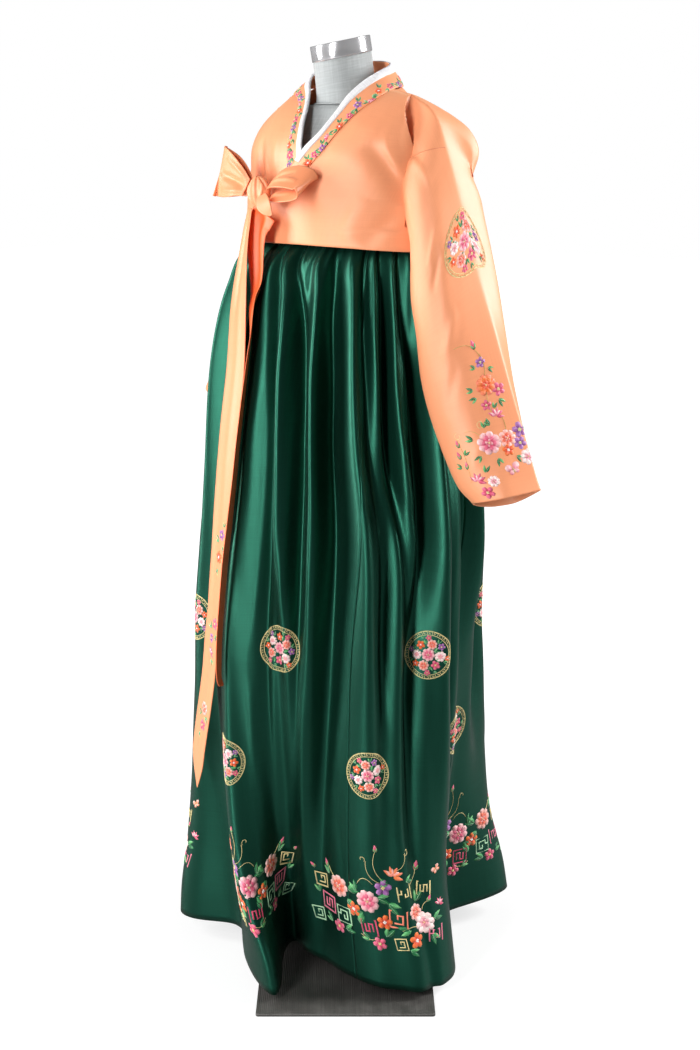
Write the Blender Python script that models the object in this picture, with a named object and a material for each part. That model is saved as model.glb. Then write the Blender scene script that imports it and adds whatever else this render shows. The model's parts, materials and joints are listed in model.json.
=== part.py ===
"""Korean hanbok on a limbless dress form: a short wrapped jacket with its bow, and a full gathered skirt.

Metres, +Z up. The pole stands on Z, the underside of the base plate is at Z = 0, the garment's front
faces -Y and the wearer's left is +X. Cloth pieces are closed walls, outer face and inner face.
"""

import math

import bmesh
import bpy
import numpy as np

GAP = 0.0003  # between two pieces that meet
SKIRT_WALL = 0.0012
JACKET_WALL = 0.0018
TIE_WALL = 0.0014
LAP = 0.0052  # how far one front stands over the other


def table(columns, rows):
    """One array for each named column."""
    return dict(zip(columns.split(), np.array(rows, float).T))


# ---- driving sizes -----------------------------------------------------------------------------

# The base plate is turned by PLATE_TURN about Z, and the pole stands near its rear edge.
PLATE_TURN = math.radians(40)
PLATE_WIDTH = 0.300
PLATE_FRONT = 0.302  # from the pole to the front edge
PLATE_REAR = 0.100
PLATE_THICK = 0.005
POLE_RADIUS = 0.0125
SOCKET_RADIUS = 0.030
SOCKET_HEIGHT = 0.035

FORM = table(
    "z half_width front back",
    [
        (0.840, 0.060, 0.050, 0.050),
        (0.846, 0.118, 0.088, 0.092),
        (0.900, 0.150, 0.106, 0.112),
        (1.000, 0.145, 0.098, 0.106),
        (1.100, 0.122, 0.082, 0.078),
        (1.200, 0.130, 0.086, 0.076),
        (1.300, 0.140, 0.090, 0.078),
        (1.360, 0.148, 0.101, 0.080),
        (1.410, 0.146, 0.088, 0.080),
        (1.445, 0.132, 0.066, 0.068),
        (1.466, 0.100, 0.053, 0.056),
        (1.474, 0.060, 0.048, 0.050),
    ],
)
NECK_LEAN = math.radians(11.6)
NECK_HEADING = math.radians(-127)  # the way the neck leans
NECK = table(
    "z radius along",
    [(1.480, 0.0530, -0.004), (1.490, 0.0500, -0.003), (1.510, 0.0478, 0.000), (1.548, 0.0470, 0.005)],
)
CAP_RADIUS = 0.0485
CAP_THICK = 0.0245

# Skirt outline at each height, before its folds. The shares say how far hem folds, long waves and
# waist gathers have grown there.
SKIRT = table(
    "z half_width front back shift hem_share wave_share gather",
    [
        (1.300, 0.1570, 0.0990, 0.0900, 0.000, 0.00, 0.00, 0.0020),
        (1.258, 0.1690, 0.1100, 0.0960, -0.002, 0.00, 0.05, 0.0034),
        (1.238, 0.1820, 0.1280, 0.1120, -0.005, 0.00, 0.20, 0.0052),
        (1.180, 0.1990, 0.1510, 0.1380, -0.008, 0.02, 0.55, 0.0058),
        (1.090, 0.2110, 0.1780, 0.1660, -0.008, 0.04, 0.85, 0.0040),
        (0.960, 0.2225, 0.2025, 0.1910, -0.008, 0.07, 1.00, 0.0016),
        (0.800, 0.2370, 0.2260, 0.2160, -0.005, 0.12, 1.00, 0.0004),
        (0.600, 0.2390, 0.2350, 0.2290, -0.015, 0.21, 1.00, 0.0000),
        (0.380, 0.2385, 0.2395, 0.2355, -0.017, 0.41, 0.85, 0.0000),
        (0.180, 0.2400, 0.2430, 0.2390, -0.018, 0.73, 0.60, 0.0000),
        (0.070, 0.2500, 0.2520, 0.2500, -0.014, 0.96, 0.50, 0.0000),
        (0.020, 0.2540, 0.2540, 0.2540, -0.012, 1.00, 0.50, 0.0000),
    ],
)
SWAY = (math.cos(PLATE_TURN), math.sin(PLATE_TURN))  # the way the shift column moves the skirt
GATHERS = 44
SKIRT_COLUMNS = 192

# Large folds at the hem, crest and valley in turn: the angle about Z, how far the cloth is carried
# round from there at the hem, how far it reaches from the skirt's own centre, and the hem's height.
HEM_FOLDS = table(
    "angle turn reach height",
    [
        (-176, 0, 0.226, 0.050),
        (-158, 0, 0.240, 0.074),
        (-142, 2, 0.292, 0.040),
        (-124, 3, 0.200, 0.042),
        (-106, 13, 0.232, 0.032),
        (-98, 25, 0.284, 0.018),
        (-90, 16, 0.240, 0.026),
        (-80, -5, 0.156, 0.036),
        (-50, 2, 0.206, 0.027),
        (-22, 4, 0.297, 0.020),
        (-7, -1, 0.282, 0.022),
        (22, 12, 0.188, 0.038),
        (46, 6, 0.322, 0.052),
        (72, 0, 0.214, 0.050),
        (100, 4, 0.296, 0.038),
        (126, 0, 0.216, 0.044),
        (156, -4, 0.290, 0.040),
    ],
)

# Long soft waves that run down from the gathers: angle about Z, depth and half width in degrees.
WAVES = table(
    "angle depth half_width",
    [
        (-170, 0.010, 6), (-152, -0.008, 5), (-134, 0.011, 6), (-120, -0.009, 4.5),
        (-106, 0.011, 4.5), (-94, -0.010, 4), (-81, 0.011, 5), (-68, 0.008, 4.5),
        (-56, -0.012, 5), (-42, 0.011, 5), (-33, -0.006, 3), (-27, 0.007, 3.5),
        (-19, -0.009, 3.5), (-8, 0.011, 5.5), (6, -0.010, 5), (21, 0.010, 6),
        (36, -0.009, 5), (52, 0.011, 6), (70, -0.010, 6), (86, 0.011, 6),
        (101, -0.009, 5), (117, 0.010, 6), (133, -0.010, 6), (150, 0.011, 6),
        (168, -0.009, 5),
    ],
)

# Skirt widths of cloth: name, first angle, last angle, and whether the last edge laps over.
SKIRT_PIECES = (
    ("skirt_back_left", 15, 90),
    ("skirt_back_right", 90, 165),
    ("skirt_right", 165, 240),
    ("skirt_front", 240, 315),
    ("skirt_left", 315, 375),
)
SKIRT_LEVELS = (0.0, 0.033, 0.055, 0.100, 0.170, 0.270, 0.410, 0.580, 0.760, 0.910, 1.0)

BAND = table("z half_width front back", [(1.302, 0.157, 0.098, 0.090), (1.385, 0.158, 0.108, 0.092)])

# Jacket body outline at each height.
JACKET = table(
    "z half_width front back",
    [
        (1.235, 0.188, 0.129, 0.112),
        (1.300, 0.183, 0.125, 0.108),
        (1.360, 0.177, 0.122, 0.106),
        (1.410, 0.175, 0.115, 0.104),
        (1.450, 0.175, 0.102, 0.098),
        (1.500, 0.175, 0.080, 0.090),
    ],
)
ARMHOLE_X = 0.170
UNDERARM = 1.288
SLEEVE_GAP = 0.0010  # between the armhole and the sleeve's first ring
UNDER_GAP = 0.003  # the further gap at the sleeve's lowest point
UNDER_DIP = 0.010  # how far the sleeve's own lowest point lies below that
NECK_POINT = 0.090  # from the middle to where the shoulder line starts to fall
NECK_END = 0.101  # from the middle to where the shoulder line meets the collar
LEVEL_Z = 1.300  # rows of points below this run level, and those above fan out to the shoulder line
BACK_RISE = 0.014  # how far the back's neck edge stands over the neck points
SEAM_GAP = 0.0024  # between a front and the collar's edge
HEM_Z = 1.247  # at the side seams; the hem rises by HEM_RISE at the middle
HEM_RISE = 0.010
SHOULDER_Z = 1.500
SHOULDER_DROP = (0.66, 0.24)  # the fall of the right and the left shoulder, to each metre out
PLAN_POWER = 0.435  # how full the body's plan outline is; 0.5 is an ellipse
FRONT_ROUNDS_FROM = 1.385  # the height where the front starts to round in to the shoulder line
BACK_ROUNDS_FROM = 1.420
BACK_NECK_RISE = 0.056
SHOULDER_POWERS = (2.2, 0.6)  # how the body rounds in between there and the shoulder line

# Front edges below the collar, at each height. Above that a front ends at the collar's outer edge.
FRONT_EDGES = table(
    "z outer_front inner_front",
    [
        (1.230, -0.104, 0.036),
        (1.300, -0.078, 0.026),
        (1.312, -0.068, 0.025),
        (1.330, -0.058, 0.020),
        (1.345, -0.030, 0.002),
        (1.362, -0.004, -0.021),
    ],
)

# The collar's two edges, from the right front, round the neck, and down the left front. Where a rest
# share is 1 that edge lies on the front, and its y is worked out.
COLLAR = table(
    "outer_x outer_y outer_z inner_x inner_y inner_z outer_rest inner_rest lift",
    [
        (-0.0175, -0.118, 1.3660, 0.0150, -0.1200, 1.3880, 1, 1.0, 0),
        (-0.0195, -0.118, 1.3760, 0.0125, -0.1180, 1.3930, 1, 1.0, 0),
        (-0.0236, -0.114, 1.4030, 0.0060, -0.1140, 1.4090, 1, 1.0, 0),
        (-0.0294, -0.102, 1.4246, -0.0010, -0.1040, 1.4280, 1, 1.0, 0),
        (-0.0361, -0.086, 1.4456, -0.0125, -0.0836, 1.4494, 1, 1.0, 0),
        (-0.0460, -0.064, 1.4652, -0.0240, -0.0640, 1.4700, 1, 0.4, 0),
        (-0.0620, -0.042, 1.4800, -0.0400, -0.0400, 1.4900, 1, 0.0, 0),
        (-0.0860, -0.020, 1.4900, -0.0590, -0.0170, 1.5080, 1, 0.0, 0),
        (-0.1010, 0.000, 1.5008, -0.0680, 0.0040, 1.5220, 0, 0.0, 0),
        (-0.0860, 0.030, 1.5068, -0.0640, 0.0320, 1.5340, 0, 0.0, 0),
        (-0.0500, 0.054, 1.5125, -0.0400, 0.0530, 1.5400, 0, 0.0, 0),
        (0.0000, 0.0680, 1.5155, 0.0000, 0.0620, 1.5430, 0, 0.0, 0),
        (0.0500, 0.054, 1.5125, 0.0400, 0.0530, 1.5410, 0, 0.0, 1),
        (0.0860, 0.030, 1.5068, 0.0640, 0.0330, 1.5340, 0, 0.0, 1),
        (0.1010, 0.000, 1.5008, 0.0680, -0.0020, 1.5220, 0, 0.0, 1),
        (0.0980, -0.035, 1.4828, 0.0600, -0.0300, 1.5060, 1, 0.0, 1),
        (0.0860, -0.061, 1.4663, 0.0510, -0.0570, 1.4840, 1, 0.0, 1),
        (0.0735, -0.086, 1.4435, 0.0440, -0.0830, 1.4560, 1, 0.5, 1),
        (0.0600, -0.108, 1.4150, 0.0340, -0.1053, 1.4290, 1, 1.0, 1),
        (0.0470, -0.117, 1.3960, 0.0180, -0.1150, 1.4090, 1, 1.0, 1),
        (0.0290, -0.123, 1.3768, 0.0020, -0.1220, 1.3880, 1, 1.0, 1),
        (0.0090, -0.125, 1.3600, -0.0140, -0.1230, 1.3740, 1, 1.0, 1),
        (-0.0140, -0.126, 1.3440, -0.0330, -0.1230, 1.3600, 1, 1.0, 1),
        (-0.0420, -0.126, 1.3280, -0.0560, -0.1230, 1.3460, 1, 1.0, 1),
    ],
)
COLLAR_PARTS = 2  # rows of points to each row of the table
COLLAR_OUT = 0.0010  # the collar's outer face, over the front that it edges
COLLAR_WALL = 0.0018
STRIP_START = 0.66  # where the white strip starts, across the collar from its outer edge
STRIP_WALL = 0.0010
STRIP_OUT = 0.0014
STRIP_ROWS = (2, 20)  # the table rows where the strip ends, under the left front and at its own end

BACK_PLACES = np.array([0.030, 0.060, 0.085, 0.096, 0.102, 0.125, 0.150, ARMHOLE_X])
BACK_PLACES = np.concatenate([-BACK_PLACES[::-1], [0], BACK_PLACES])
BACK_HEIGHTS = np.array([1.247, 1.274, 1.290, 1.305, 1.330, 1.355, 1.380, 1.405, 1.430, 1.455, 1.480, 1.500])

# Sleeves: the top edge and the underarm edge of the flattened tube, and how far each face swells.
# They start at the armhole, whose outline is the jacket's own.
SLEEVE_COLUMNS = "top_x top_y top_z under_x under_y under_z front back"
SLEEVE_LEFT = table(
    SLEEVE_COLUMNS,
    [
        (0.170, 0.000, 1.481, 0.170, 0.000, 1.291, 0.042, 0.042),
        (0.212, 0.006, 1.452, 0.196, -0.024, 1.270, 0.046, 0.042),
        (0.248, 0.008, 1.387, 0.202, -0.050, 1.232, 0.042, 0.040),
        (0.274, 0.008, 1.302, 0.206, -0.066, 1.184, 0.036, 0.034),
        (0.299, 0.008, 1.212, 0.210, -0.072, 1.128, 0.032, 0.030),
        (0.325, 0.006, 1.108, 0.224, -0.070, 1.050, 0.029, 0.028),
        (0.354, 0.004, 1.009, 0.247, -0.060, 0.968, 0.028, 0.028),
        (0.382, 0.004, 0.926, 0.284, -0.048, 0.894, 0.030, 0.030),
        (0.396, 0.004, 0.886, 0.306, -0.042, 0.862, 0.030, 0.030),
    ],
)
SLEEVE_RIGHT = table(
    SLEEVE_COLUMNS,
    [
        (-0.170, 0.000, 1.481, -0.170, 0.000, 1.291, 0.042, 0.042),
        (-0.198, 0.006, 1.414, -0.196, -0.004, 1.266, 0.042, 0.044),
        (-0.217, 0.016, 1.340, -0.206, 0.010, 1.222, 0.036, 0.040),
        (-0.249, 0.030, 1.248, -0.222, 0.020, 1.168, 0.030, 0.034),
        (-0.291, 0.045, 1.154, -0.243, 0.030, 1.108, 0.026, 0.030),
        (-0.341, 0.062, 1.066, -0.274, 0.042, 1.045, 0.024, 0.028),
        (-0.388, 0.082, 1.008, -0.314, 0.056, 0.988, 0.024, 0.028),
        (-0.427, 0.102, 0.968, -0.350, 0.070, 0.945, 0.026, 0.028),
    ],
)
SLEEVE_RINGS = 12
SLEEVE_SIDES = 22
CUFF_DROP = 0.014  # how much lower the back face of the cuff hangs

# Bow: routes of bands, each row a point of the middle line, the way the face looks, and the width.
TIE_COLUMNS = "x y z look_x look_y look_z width"
TIE_CLEAR = 0.0055  # between a hanging tail and the skirt
TIE_LONG = table(
    TIE_COLUMNS,
    [
        (-0.078, -0.147, 1.312, -0.60, -0.80, 0.00, 0.034),
        (-0.083, -0.157, 1.253, -0.50, -0.87, 0.00, 0.040),
        (-0.079, -0.176, 1.166, -0.36, -0.93, 0.00, 0.056),
        (-0.068, -0.198, 1.056, -0.27, -0.96, 0.00, 0.056),
        (-0.070, -0.216, 0.943, -0.28, -0.96, 0.00, 0.056),
        (-0.072, -0.233, 0.811, -0.32, -0.95, 0.00, 0.056),
        (-0.079, -0.241, 0.679, -0.36, -0.93, 0.00, 0.056),
        (-0.091, -0.243, 0.602, -0.40, -0.92, 0.00, 0.056),
        (-0.104, -0.241, 0.524, -0.42, -0.91, 0.00, 0.056),
        (-0.130, -0.238, 0.411, -0.45, -0.89, 0.00, 0.058),
        (-0.137, -0.237, 0.368, -0.46, -0.88, 0.00, 0.052),
        (-0.141, -0.236, 0.320, -0.46, -0.88, 0.00, 0.002),
    ],
)
TIE_SHORT = table(
    TIE_COLUMNS,
    [
        (-0.046, -0.147, 1.305, -0.05, -1.00, 0.00, 0.052),
        (-0.060, -0.152, 1.270, -0.20, -1.00, 0.00, 0.050),
        (-0.054, -0.160, 1.199, -0.35, -0.90, 0.00, 0.046),
        (-0.034, -0.178, 1.129, -0.66, -0.75, 0.00, 0.036),
        (-0.030, -0.191, 1.066, -0.80, -0.60, 0.00, 0.029),
        (-0.030, -0.201, 1.010, -0.84, -0.54, 0.00, 0.028),
        (-0.028, -0.218, 0.898, -0.86, -0.50, 0.00, 0.030),
        (-0.029, -0.233, 0.784, -0.88, -0.47, 0.00, 0.034),
        (-0.031, -0.243, 0.666, -0.88, -0.47, 0.00, 0.034),
        (-0.035, -0.252, 0.564, -0.88, -0.47, 0.00, 0.028),
        (-0.035, -0.255, 0.542, -0.88, -0.47, 0.00, 0.004),
    ],
)
LOOP_LEFT = table(
    TIE_COLUMNS,
    [
        (-0.078, -0.155, 1.344, 0.10, -0.98, 0.15, 0.030),
        (-0.098, -0.156, 1.354, 0.05, -0.99, 0.10, 0.052),
        (-0.124, -0.150, 1.362, 0.00, -1.00, 0.05, 0.072),
        (-0.146, -0.143, 1.368, -0.50, -0.85, 0.15, 0.082),
        (-0.149, -0.139, 1.368, -1.00, 0.00, 0.30, 0.082),
        (-0.140, -0.135, 1.366, -0.30, 0.95, 0.15, 0.080),
        (-0.118, -0.137, 1.360, 0.05, 1.00, -0.05, 0.068),
        (-0.097, -0.141, 1.352, 0.05, 1.00, -0.10, 0.050),
        (-0.078, -0.145, 1.342, 0.00, 1.00, -0.10, 0.028),
    ],
)
LOOP_RIGHT = table(
    TIE_COLUMNS,
    [
        (-0.024, -0.156, 1.352, 0.00, -0.60, 0.80, 0.026),
        (-0.004, -0.160, 1.361, 0.00, -0.62, 0.78, 0.044),
        (0.024, -0.160, 1.364, 0.05, -0.62, 0.78, 0.052),
        (0.046, -0.158, 1.360, 0.45, -0.55, 0.70, 0.052),
        (0.053, -0.156, 1.352, 1.00, -0.10, 0.10, 0.050),
        (0.044, -0.153, 1.344, 0.40, 0.55, -0.75, 0.050),
        (0.022, -0.152, 1.340, 0.00, 0.62, -0.78, 0.048),
        (-0.004, -0.152, 1.336, 0.00, 0.62, -0.78, 0.040),
        (-0.024, -0.152, 1.333, 0.00, 0.60, -0.80, 0.026),
    ],
)
TIE_END = table(
    TIE_COLUMNS,
    [
        (-0.030, -0.171, 1.334, 0.10, -0.90, 0.40, 0.018),
        (-0.020, -0.178, 1.322, 0.10, -0.95, 0.25, 0.026),
        (-0.010, -0.180, 1.312, 0.10, -1.00, 0.10, 0.020),
        (-0.002, -0.178, 1.304, 0.10, -1.00, 0.10, 0.004),
    ],
)
KNOT_CENTRE = (-0.0500, -0.1540, 1.3380)
KNOT_RADII = (0.0220, 0.0130, 0.0250)

GREEN = (0.010, 0.085, 0.055)
PEACH = (0.950, 0.420, 0.210)
PALE_PEACH = (0.960, 0.560, 0.330)
POLE_GREY = (0.45, 0.45, 0.45)
WHITE = (0.900, 0.900, 0.930)
LINEN_GREY = (0.260, 0.270, 0.270)
STEEL_GREY = (0.130, 0.130, 0.130)
CHROME = (0.700, 0.700, 0.710)


# ---- reading tables ----------------------------------------------------------------------------


def smooth(at, places, values):
    """A smooth curve through a table's rows, flat past its ends: cubic pieces with averaged slopes."""
    places, values = np.asarray(places, float), np.asarray(values, float)
    if places[0] > places[-1]:
        places, values = places[::-1], values[::-1]
    at = np.clip(at, places[0], places[-1])
    slopes = np.gradient(values, places)
    i = np.clip(np.searchsorted(places, at, side="right") - 1, 0, len(places) - 2)
    span = places[i + 1] - places[i]
    t = (at - places[i]) / span
    start, end = values[i], values[i + 1]
    return (
        start * (1 + 2 * t) * (1 - t) ** 2
        + end * t**2 * (3 - 2 * t)
        + slopes[i] * span * t * (1 - t) ** 2
        - slopes[i + 1] * span * t**2 * (1 - t)
    )


def around(degrees, angles, values):
    """The same for a column that closes on itself round the skirt."""
    angles = np.concatenate([angles[-2:] - 360, angles, angles[:3] + 360])
    values = np.concatenate([values[-2:], values, values[:3]])
    start = angles[1]
    return smooth((degrees - start) % 360 + start, angles, values)


def unit(vectors):
    return vectors / np.maximum(np.linalg.norm(vectors, axis=-1, keepdims=True), 1e-12)


def oval(degrees, half_width, front, back, squareness=1.0):
    """A plan outline: half an oval to the front and half to the back, angle 0 at +X."""
    angle = np.radians(degrees)
    depth = np.where(np.sin(angle) < 0, front, back)
    y = np.sign(np.sin(angle)) * np.abs(np.sin(angle)) ** squareness
    return half_width * np.cos(angle), depth * y


# ---- building meshes ---------------------------------------------------------------------------


def material(name, colour, roughness, metallic=0.0):
    found = bpy.data.materials.get(name)
    if found:
        return found
    made = bpy.data.materials.new(name)
    made.use_nodes = True
    made.diffuse_color = (*colour, 1)
    shader = made.node_tree.nodes["Principled BSDF"]
    shader.inputs["Base Color"].default_value = (*colour, 1)
    shader.inputs["Roughness"].default_value = roughness
    shader.inputs["Metallic"].default_value = metallic
    return made


def add_object(name, points, faces, finish):
    mesh = bpy.data.meshes.new(name)
    mesh.from_pydata(points.tolist(), [], faces)
    shape = bmesh.new()
    shape.from_mesh(mesh)
    bmesh.ops.recalc_face_normals(shape, faces=shape.faces)
    shape.to_mesh(mesh)
    shape.free()
    mesh.shade_smooth()
    mesh.set_sharp_from_angle(angle=math.radians(50))
    mesh.materials.append(finish)
    made = bpy.data.objects.new(name, mesh)
    bpy.context.scene.collection.objects.link(made)
    return made


def grid_faces(rows, columns, first, close_columns):
    """Quads of a grid of points, row by row."""
    last = columns if close_columns else columns - 1
    return [
        [first + r * columns + c, first + r * columns + (c + 1) % columns,
         first + (r + 1) * columns + (c + 1) % columns, first + (r + 1) * columns + c]
        for r in range(rows - 1)
        for c in range(last)
    ]


def wall(name, outer, inner, finish, tube=False):
    """A closed cloth wall from two grids of points, as rows of columns; a tube's columns go round."""
    rows, columns = outer.shape[:2]
    count = rows * columns
    faces = grid_faces(rows, columns, 0, tube)
    faces += [face[::-1] for face in grid_faces(rows, columns, count, tube)]
    for row in (0, rows - 1):
        start = row * columns
        for c in range(columns if tube else columns - 1):
            a, b = start + c, start + (c + 1) % columns
            faces.append([a, b, b + count, a + count][:: -1 if row == 0 else 1])
    if not tube:
        for column in (0, columns - 1):
            for r in range(rows - 1):
                a, b = r * columns + column, (r + 1) * columns + column
                faces.append([a, b, b + count, a + count][:: 1 if column == 0 else -1])
    points = np.concatenate([outer.reshape(-1, 3), inner.reshape(-1, 3)])
    return add_object(name, points, faces, finish)


def normals(grid, tube=False):
    """Unit normals of a grid of points, along columns x rows."""
    if tube:
        across = np.roll(grid, -1, axis=1) - np.roll(grid, 1, axis=1)
    else:
        across = np.gradient(grid, axis=1)
    return unit(np.cross(across, np.gradient(grid, axis=0)))


def loft(name, rings, finish):
    """A solid through closed rings, with flat ends."""
    rows, columns = rings.shape[:2]
    faces = grid_faces(rows, columns, 0, True)
    faces.append(list(range(columns)))
    faces.append(list(range((rows - 1) * columns, rows * columns))[::-1])
    return add_object(name, rings.reshape(-1, 3), faces, finish)


def ribbon(name, route, finish, steps, across=3):
    """A flat band along a route's rows: its width lies square to the route and to where it looks."""
    places = np.linspace(0, 1, len(route["x"]))
    t = np.linspace(0, 1, steps)
    middle = np.stack([smooth(t, places, route[k]) for k in ("x", "y", "z")], axis=1)
    look = np.stack([smooth(t, places, route[k]) for k in ("look_x", "look_y", "look_z")], axis=1)
    width = smooth(t, places, route["width"])
    along = unit(np.gradient(middle, axis=0))
    look = unit(look - along * (look * along).sum(axis=1, keepdims=True))
    side = np.cross(along, look)
    u = np.linspace(-0.5, 0.5, across)
    outer = middle[:, None] + side[:, None] * u[None, :, None] * width[:, None, None]
    return wall(name, outer, outer - look[:, None] * TIE_WALL, finish)


# ---- dress form --------------------------------------------------------------------------------


def form_ring(z, half_width, front, back, sides=28):
    x, y = oval(np.arange(sides) * 360 / sides, half_width, front, back, 0.95)
    return np.stack([x, y, np.full(sides, z)], axis=1)


def make_stand():
    steel = material("plate_steel", STEEL_GREY, 0.35, 0.6)
    ahead = np.array([math.sin(PLATE_TURN), -math.cos(PLATE_TURN), 0])
    right = np.array([math.cos(PLATE_TURN), math.sin(PLATE_TURN), 0])
    corners = [
        right * side * PLATE_WIDTH / 2 + ahead * reach
        for side, reach in ((-1, -PLATE_REAR), (1, -PLATE_REAR), (1, PLATE_FRONT), (-1, PLATE_FRONT))
    ]
    rings = np.array([[corner + (0, 0, z) for corner in corners] for z in (0, PLATE_THICK)])
    loft("base_plate", rings, steel)

    turn = np.arange(24) * math.tau / 24
    circle = np.stack([np.cos(turn), np.sin(turn), 0 * turn], axis=1)
    foot = PLATE_THICK + GAP
    inner_radius = POLE_RADIUS + GAP
    outer = [(foot, SOCKET_RADIUS), (foot + 0.012, SOCKET_RADIUS), (foot + SOCKET_HEIGHT, 0.018)]
    outer_rings = np.array([circle * r + (0, 0, z) for z, r in outer])
    inner_rings = np.array([circle * inner_radius + (0, 0, z) for z, _ in outer])
    wall("pole_socket", outer_rings, inner_rings, steel, tube=True)
    pole = np.array([circle * POLE_RADIUS + (0, 0, z) for z in (foot, FORM["z"][0] - GAP)])
    loft("pole", pole, material("pole_steel", POLE_GREY, 0.3, 1.0))


def make_form():
    linen = material("form_linen", LINEN_GREY, 0.8)
    heights = np.concatenate([FORM["z"][:2], np.linspace(FORM["z"][2], FORM["z"][-1], 13)])
    rings = [
        form_ring(z, *(smooth(z, FORM["z"], FORM[k]) for k in ("half_width", "front", "back")))
        for z in heights
    ]
    loft("form_torso", np.array(rings), linen)

    turn = np.arange(32) * math.tau / 32
    circle = np.stack([np.cos(turn), np.sin(turn), 0 * turn], axis=1)
    heading = np.array([math.cos(NECK_HEADING), math.sin(NECK_HEADING), 0])
    drop = circle @ heading  # the rim is lowest the way the neck leans

    def ring(z, radius, along, lean):
        points = circle * radius + heading * along
        points[:, 2] = z - drop * radius * math.tan(lean)
        return points

    lowest = FORM["z"][-1] + GAP
    base = ring(lowest, NECK["radius"][0], 0, 0)
    upper = [ring(*row, NECK_LEAN) for row in zip(NECK["z"], NECK["radius"], NECK["along"])]
    upper[0][:, 2] = np.maximum(upper[0][:, 2], lowest + 0.002)
    loft("form_neck", np.array([base] + upper), linen)

    top = NECK["z"][-1] + GAP / math.cos(NECK_LEAN)
    rise = CAP_THICK / math.cos(NECK_LEAN)
    along = NECK["along"][-1]
    edge = 0.0015
    cap = [
        ring(top, CAP_RADIUS - edge, along, NECK_LEAN),
        ring(top + edge, CAP_RADIUS, along, NECK_LEAN),
        ring(top + rise - edge, CAP_RADIUS, along + 0.004, NECK_LEAN),
        ring(top + rise, CAP_RADIUS - edge, along + 0.004, NECK_LEAN),
    ]
    loft("neck_cap", np.array(cap), material("cap_chrome", CHROME, 0.15, 1.0))


# ---- skirt -------------------------------------------------------------------------------------


def gather_wave(degrees):
    """Uneven gathers at the waist: a cosine whose pace and height drift round the skirt."""
    angle = np.radians(degrees)
    pace = GATHERS * angle + 1.3 * np.sin(3 * angle + 0.6) + 0.9 * np.sin(7 * angle)
    height = 0.8 + 0.2 * np.sin(5 * angle + 1.0)
    return height * np.cos(pace)


def long_wave(degrees):
    total = np.zeros_like(degrees, dtype=float)
    for angle, depth, half_width in zip(WAVES["angle"], WAVES["depth"], WAVES["half_width"]):
        away = (degrees - angle + 180) % 360 - 180
        total += depth * np.exp(-((away / half_width) ** 2))
    return total


def skirt_points(degrees, level):
    """Outer face of the skirt: degrees round it, and level from 0 at the top to 1 at the hem."""
    top = SKIRT["z"][0]
    hem = around(degrees, HEM_FOLDS["angle"], HEM_FOLDS["height"])
    z = top + (hem - top) * level
    flat_z = top + (SKIRT["z"][-1] - top) * level
    row = {k: smooth(flat_z, SKIRT["z"], SKIRT[k]) for k in SKIRT}
    x, y = oval(degrees, row["half_width"], row["front"], row["back"])
    reach = np.hypot(x, y)
    fold = around(degrees, HEM_FOLDS["angle"], HEM_FOLDS["reach"]) - SKIRT["half_width"][-1]
    reach_out = (
        reach
        + row["hem_share"] * fold
        + row["wave_share"] * long_wave(degrees)
        + row["gather"] * gather_wave(degrees)
    )
    turn = row["hem_share"] ** 2 * around(degrees, HEM_FOLDS["angle"], HEM_FOLDS["turn"])
    heading = np.arctan2(y, x) + np.radians(turn)
    x = row["shift"] * SWAY[0] + reach_out * np.cos(heading)
    y = row["shift"] * SWAY[1] + reach_out * np.sin(heading)
    return np.stack([x, y, z], axis=-1)


def make_skirt():
    green = material("skirt_satin", GREEN, 0.35)
    step = 360 / SKIRT_COLUMNS
    levels = np.array(SKIRT_LEVELS)
    for name, first, last in SKIRT_PIECES:
        count = round((last - first) / step)
        degrees = np.linspace(first, last, count + 1)
        seam = math.degrees(GAP / SKIRT["half_width"][0]) / 2
        degrees[0] += seam
        degrees[-1] -= seam
        grid = np.meshgrid(degrees, levels)
        outer = skirt_points(*grid)
        beyond = skirt_points(grid[0] + 0.5, grid[1]) - skirt_points(grid[0] - 0.5, grid[1])
        beyond[..., 2] = 0
        inward = unit(np.cross(beyond, (0, 0, -1)))
        wall(name, outer, outer + inward * SKIRT_WALL, green)


def make_band():
    degrees = np.arange(40) * 9.0
    rows = []
    for z, half_width, front, back in zip(*(BAND[k] for k in BAND)):
        x, y = oval(degrees, half_width, front, back)
        rows.append(np.stack([x, y, np.full_like(x, z)], axis=1))
    outer = np.array(rows)
    inner = outer - unit(outer * (1, 1, 0)) * SKIRT_WALL
    wall("skirt_band", outer, inner, material("band_cotton", GREEN, 0.8), tube=True)


# ---- jacket ------------------------------------------------------------------------------------


def shoulder_height(x):
    drop = np.where(np.asarray(x) < 0, *SHOULDER_DROP)
    return SHOULDER_Z - drop * np.maximum(np.abs(x) - NECK_POINT, 0)


def jacket_depth(x, z, front, lift=0.0):
    """How far the jacket's body stands from the middle plane at x and z, with its rounded shoulder."""
    half_width = smooth(z, JACKET["z"], JACKET["half_width"])
    depth = smooth(z, JACKET["z"], JACKET["front" if front else "back"]) + lift
    depth = depth * np.maximum(1 - (x / half_width) ** 2, 0) ** PLAN_POWER
    start = FRONT_ROUNDS_FROM if front else BACK_ROUNDS_FROM
    neck_rise = 0.0 if front else BACK_NECK_RISE
    top = shoulder_height(x) + neck_rise * np.clip(1 - np.abs(x) / NECK_END, 0, 1) ** 0.7
    share = np.clip((z - start) / (top - start), 0, 1)
    return depth * np.maximum(1 - share**SHOULDER_POWERS[0], 0) ** SHOULDER_POWERS[1]


def side_edge(z):
    """The body panels' outer edge: the side seam below the underarm, the armhole above it."""
    share = np.clip((z - UNDERARM + 0.010) / 0.010, 0, 1)
    share = share * share * (3 - 2 * share)
    return smooth(z, JACKET["z"], JACKET["half_width"]) * (1 - share) + ARMHOLE_X * share


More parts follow.
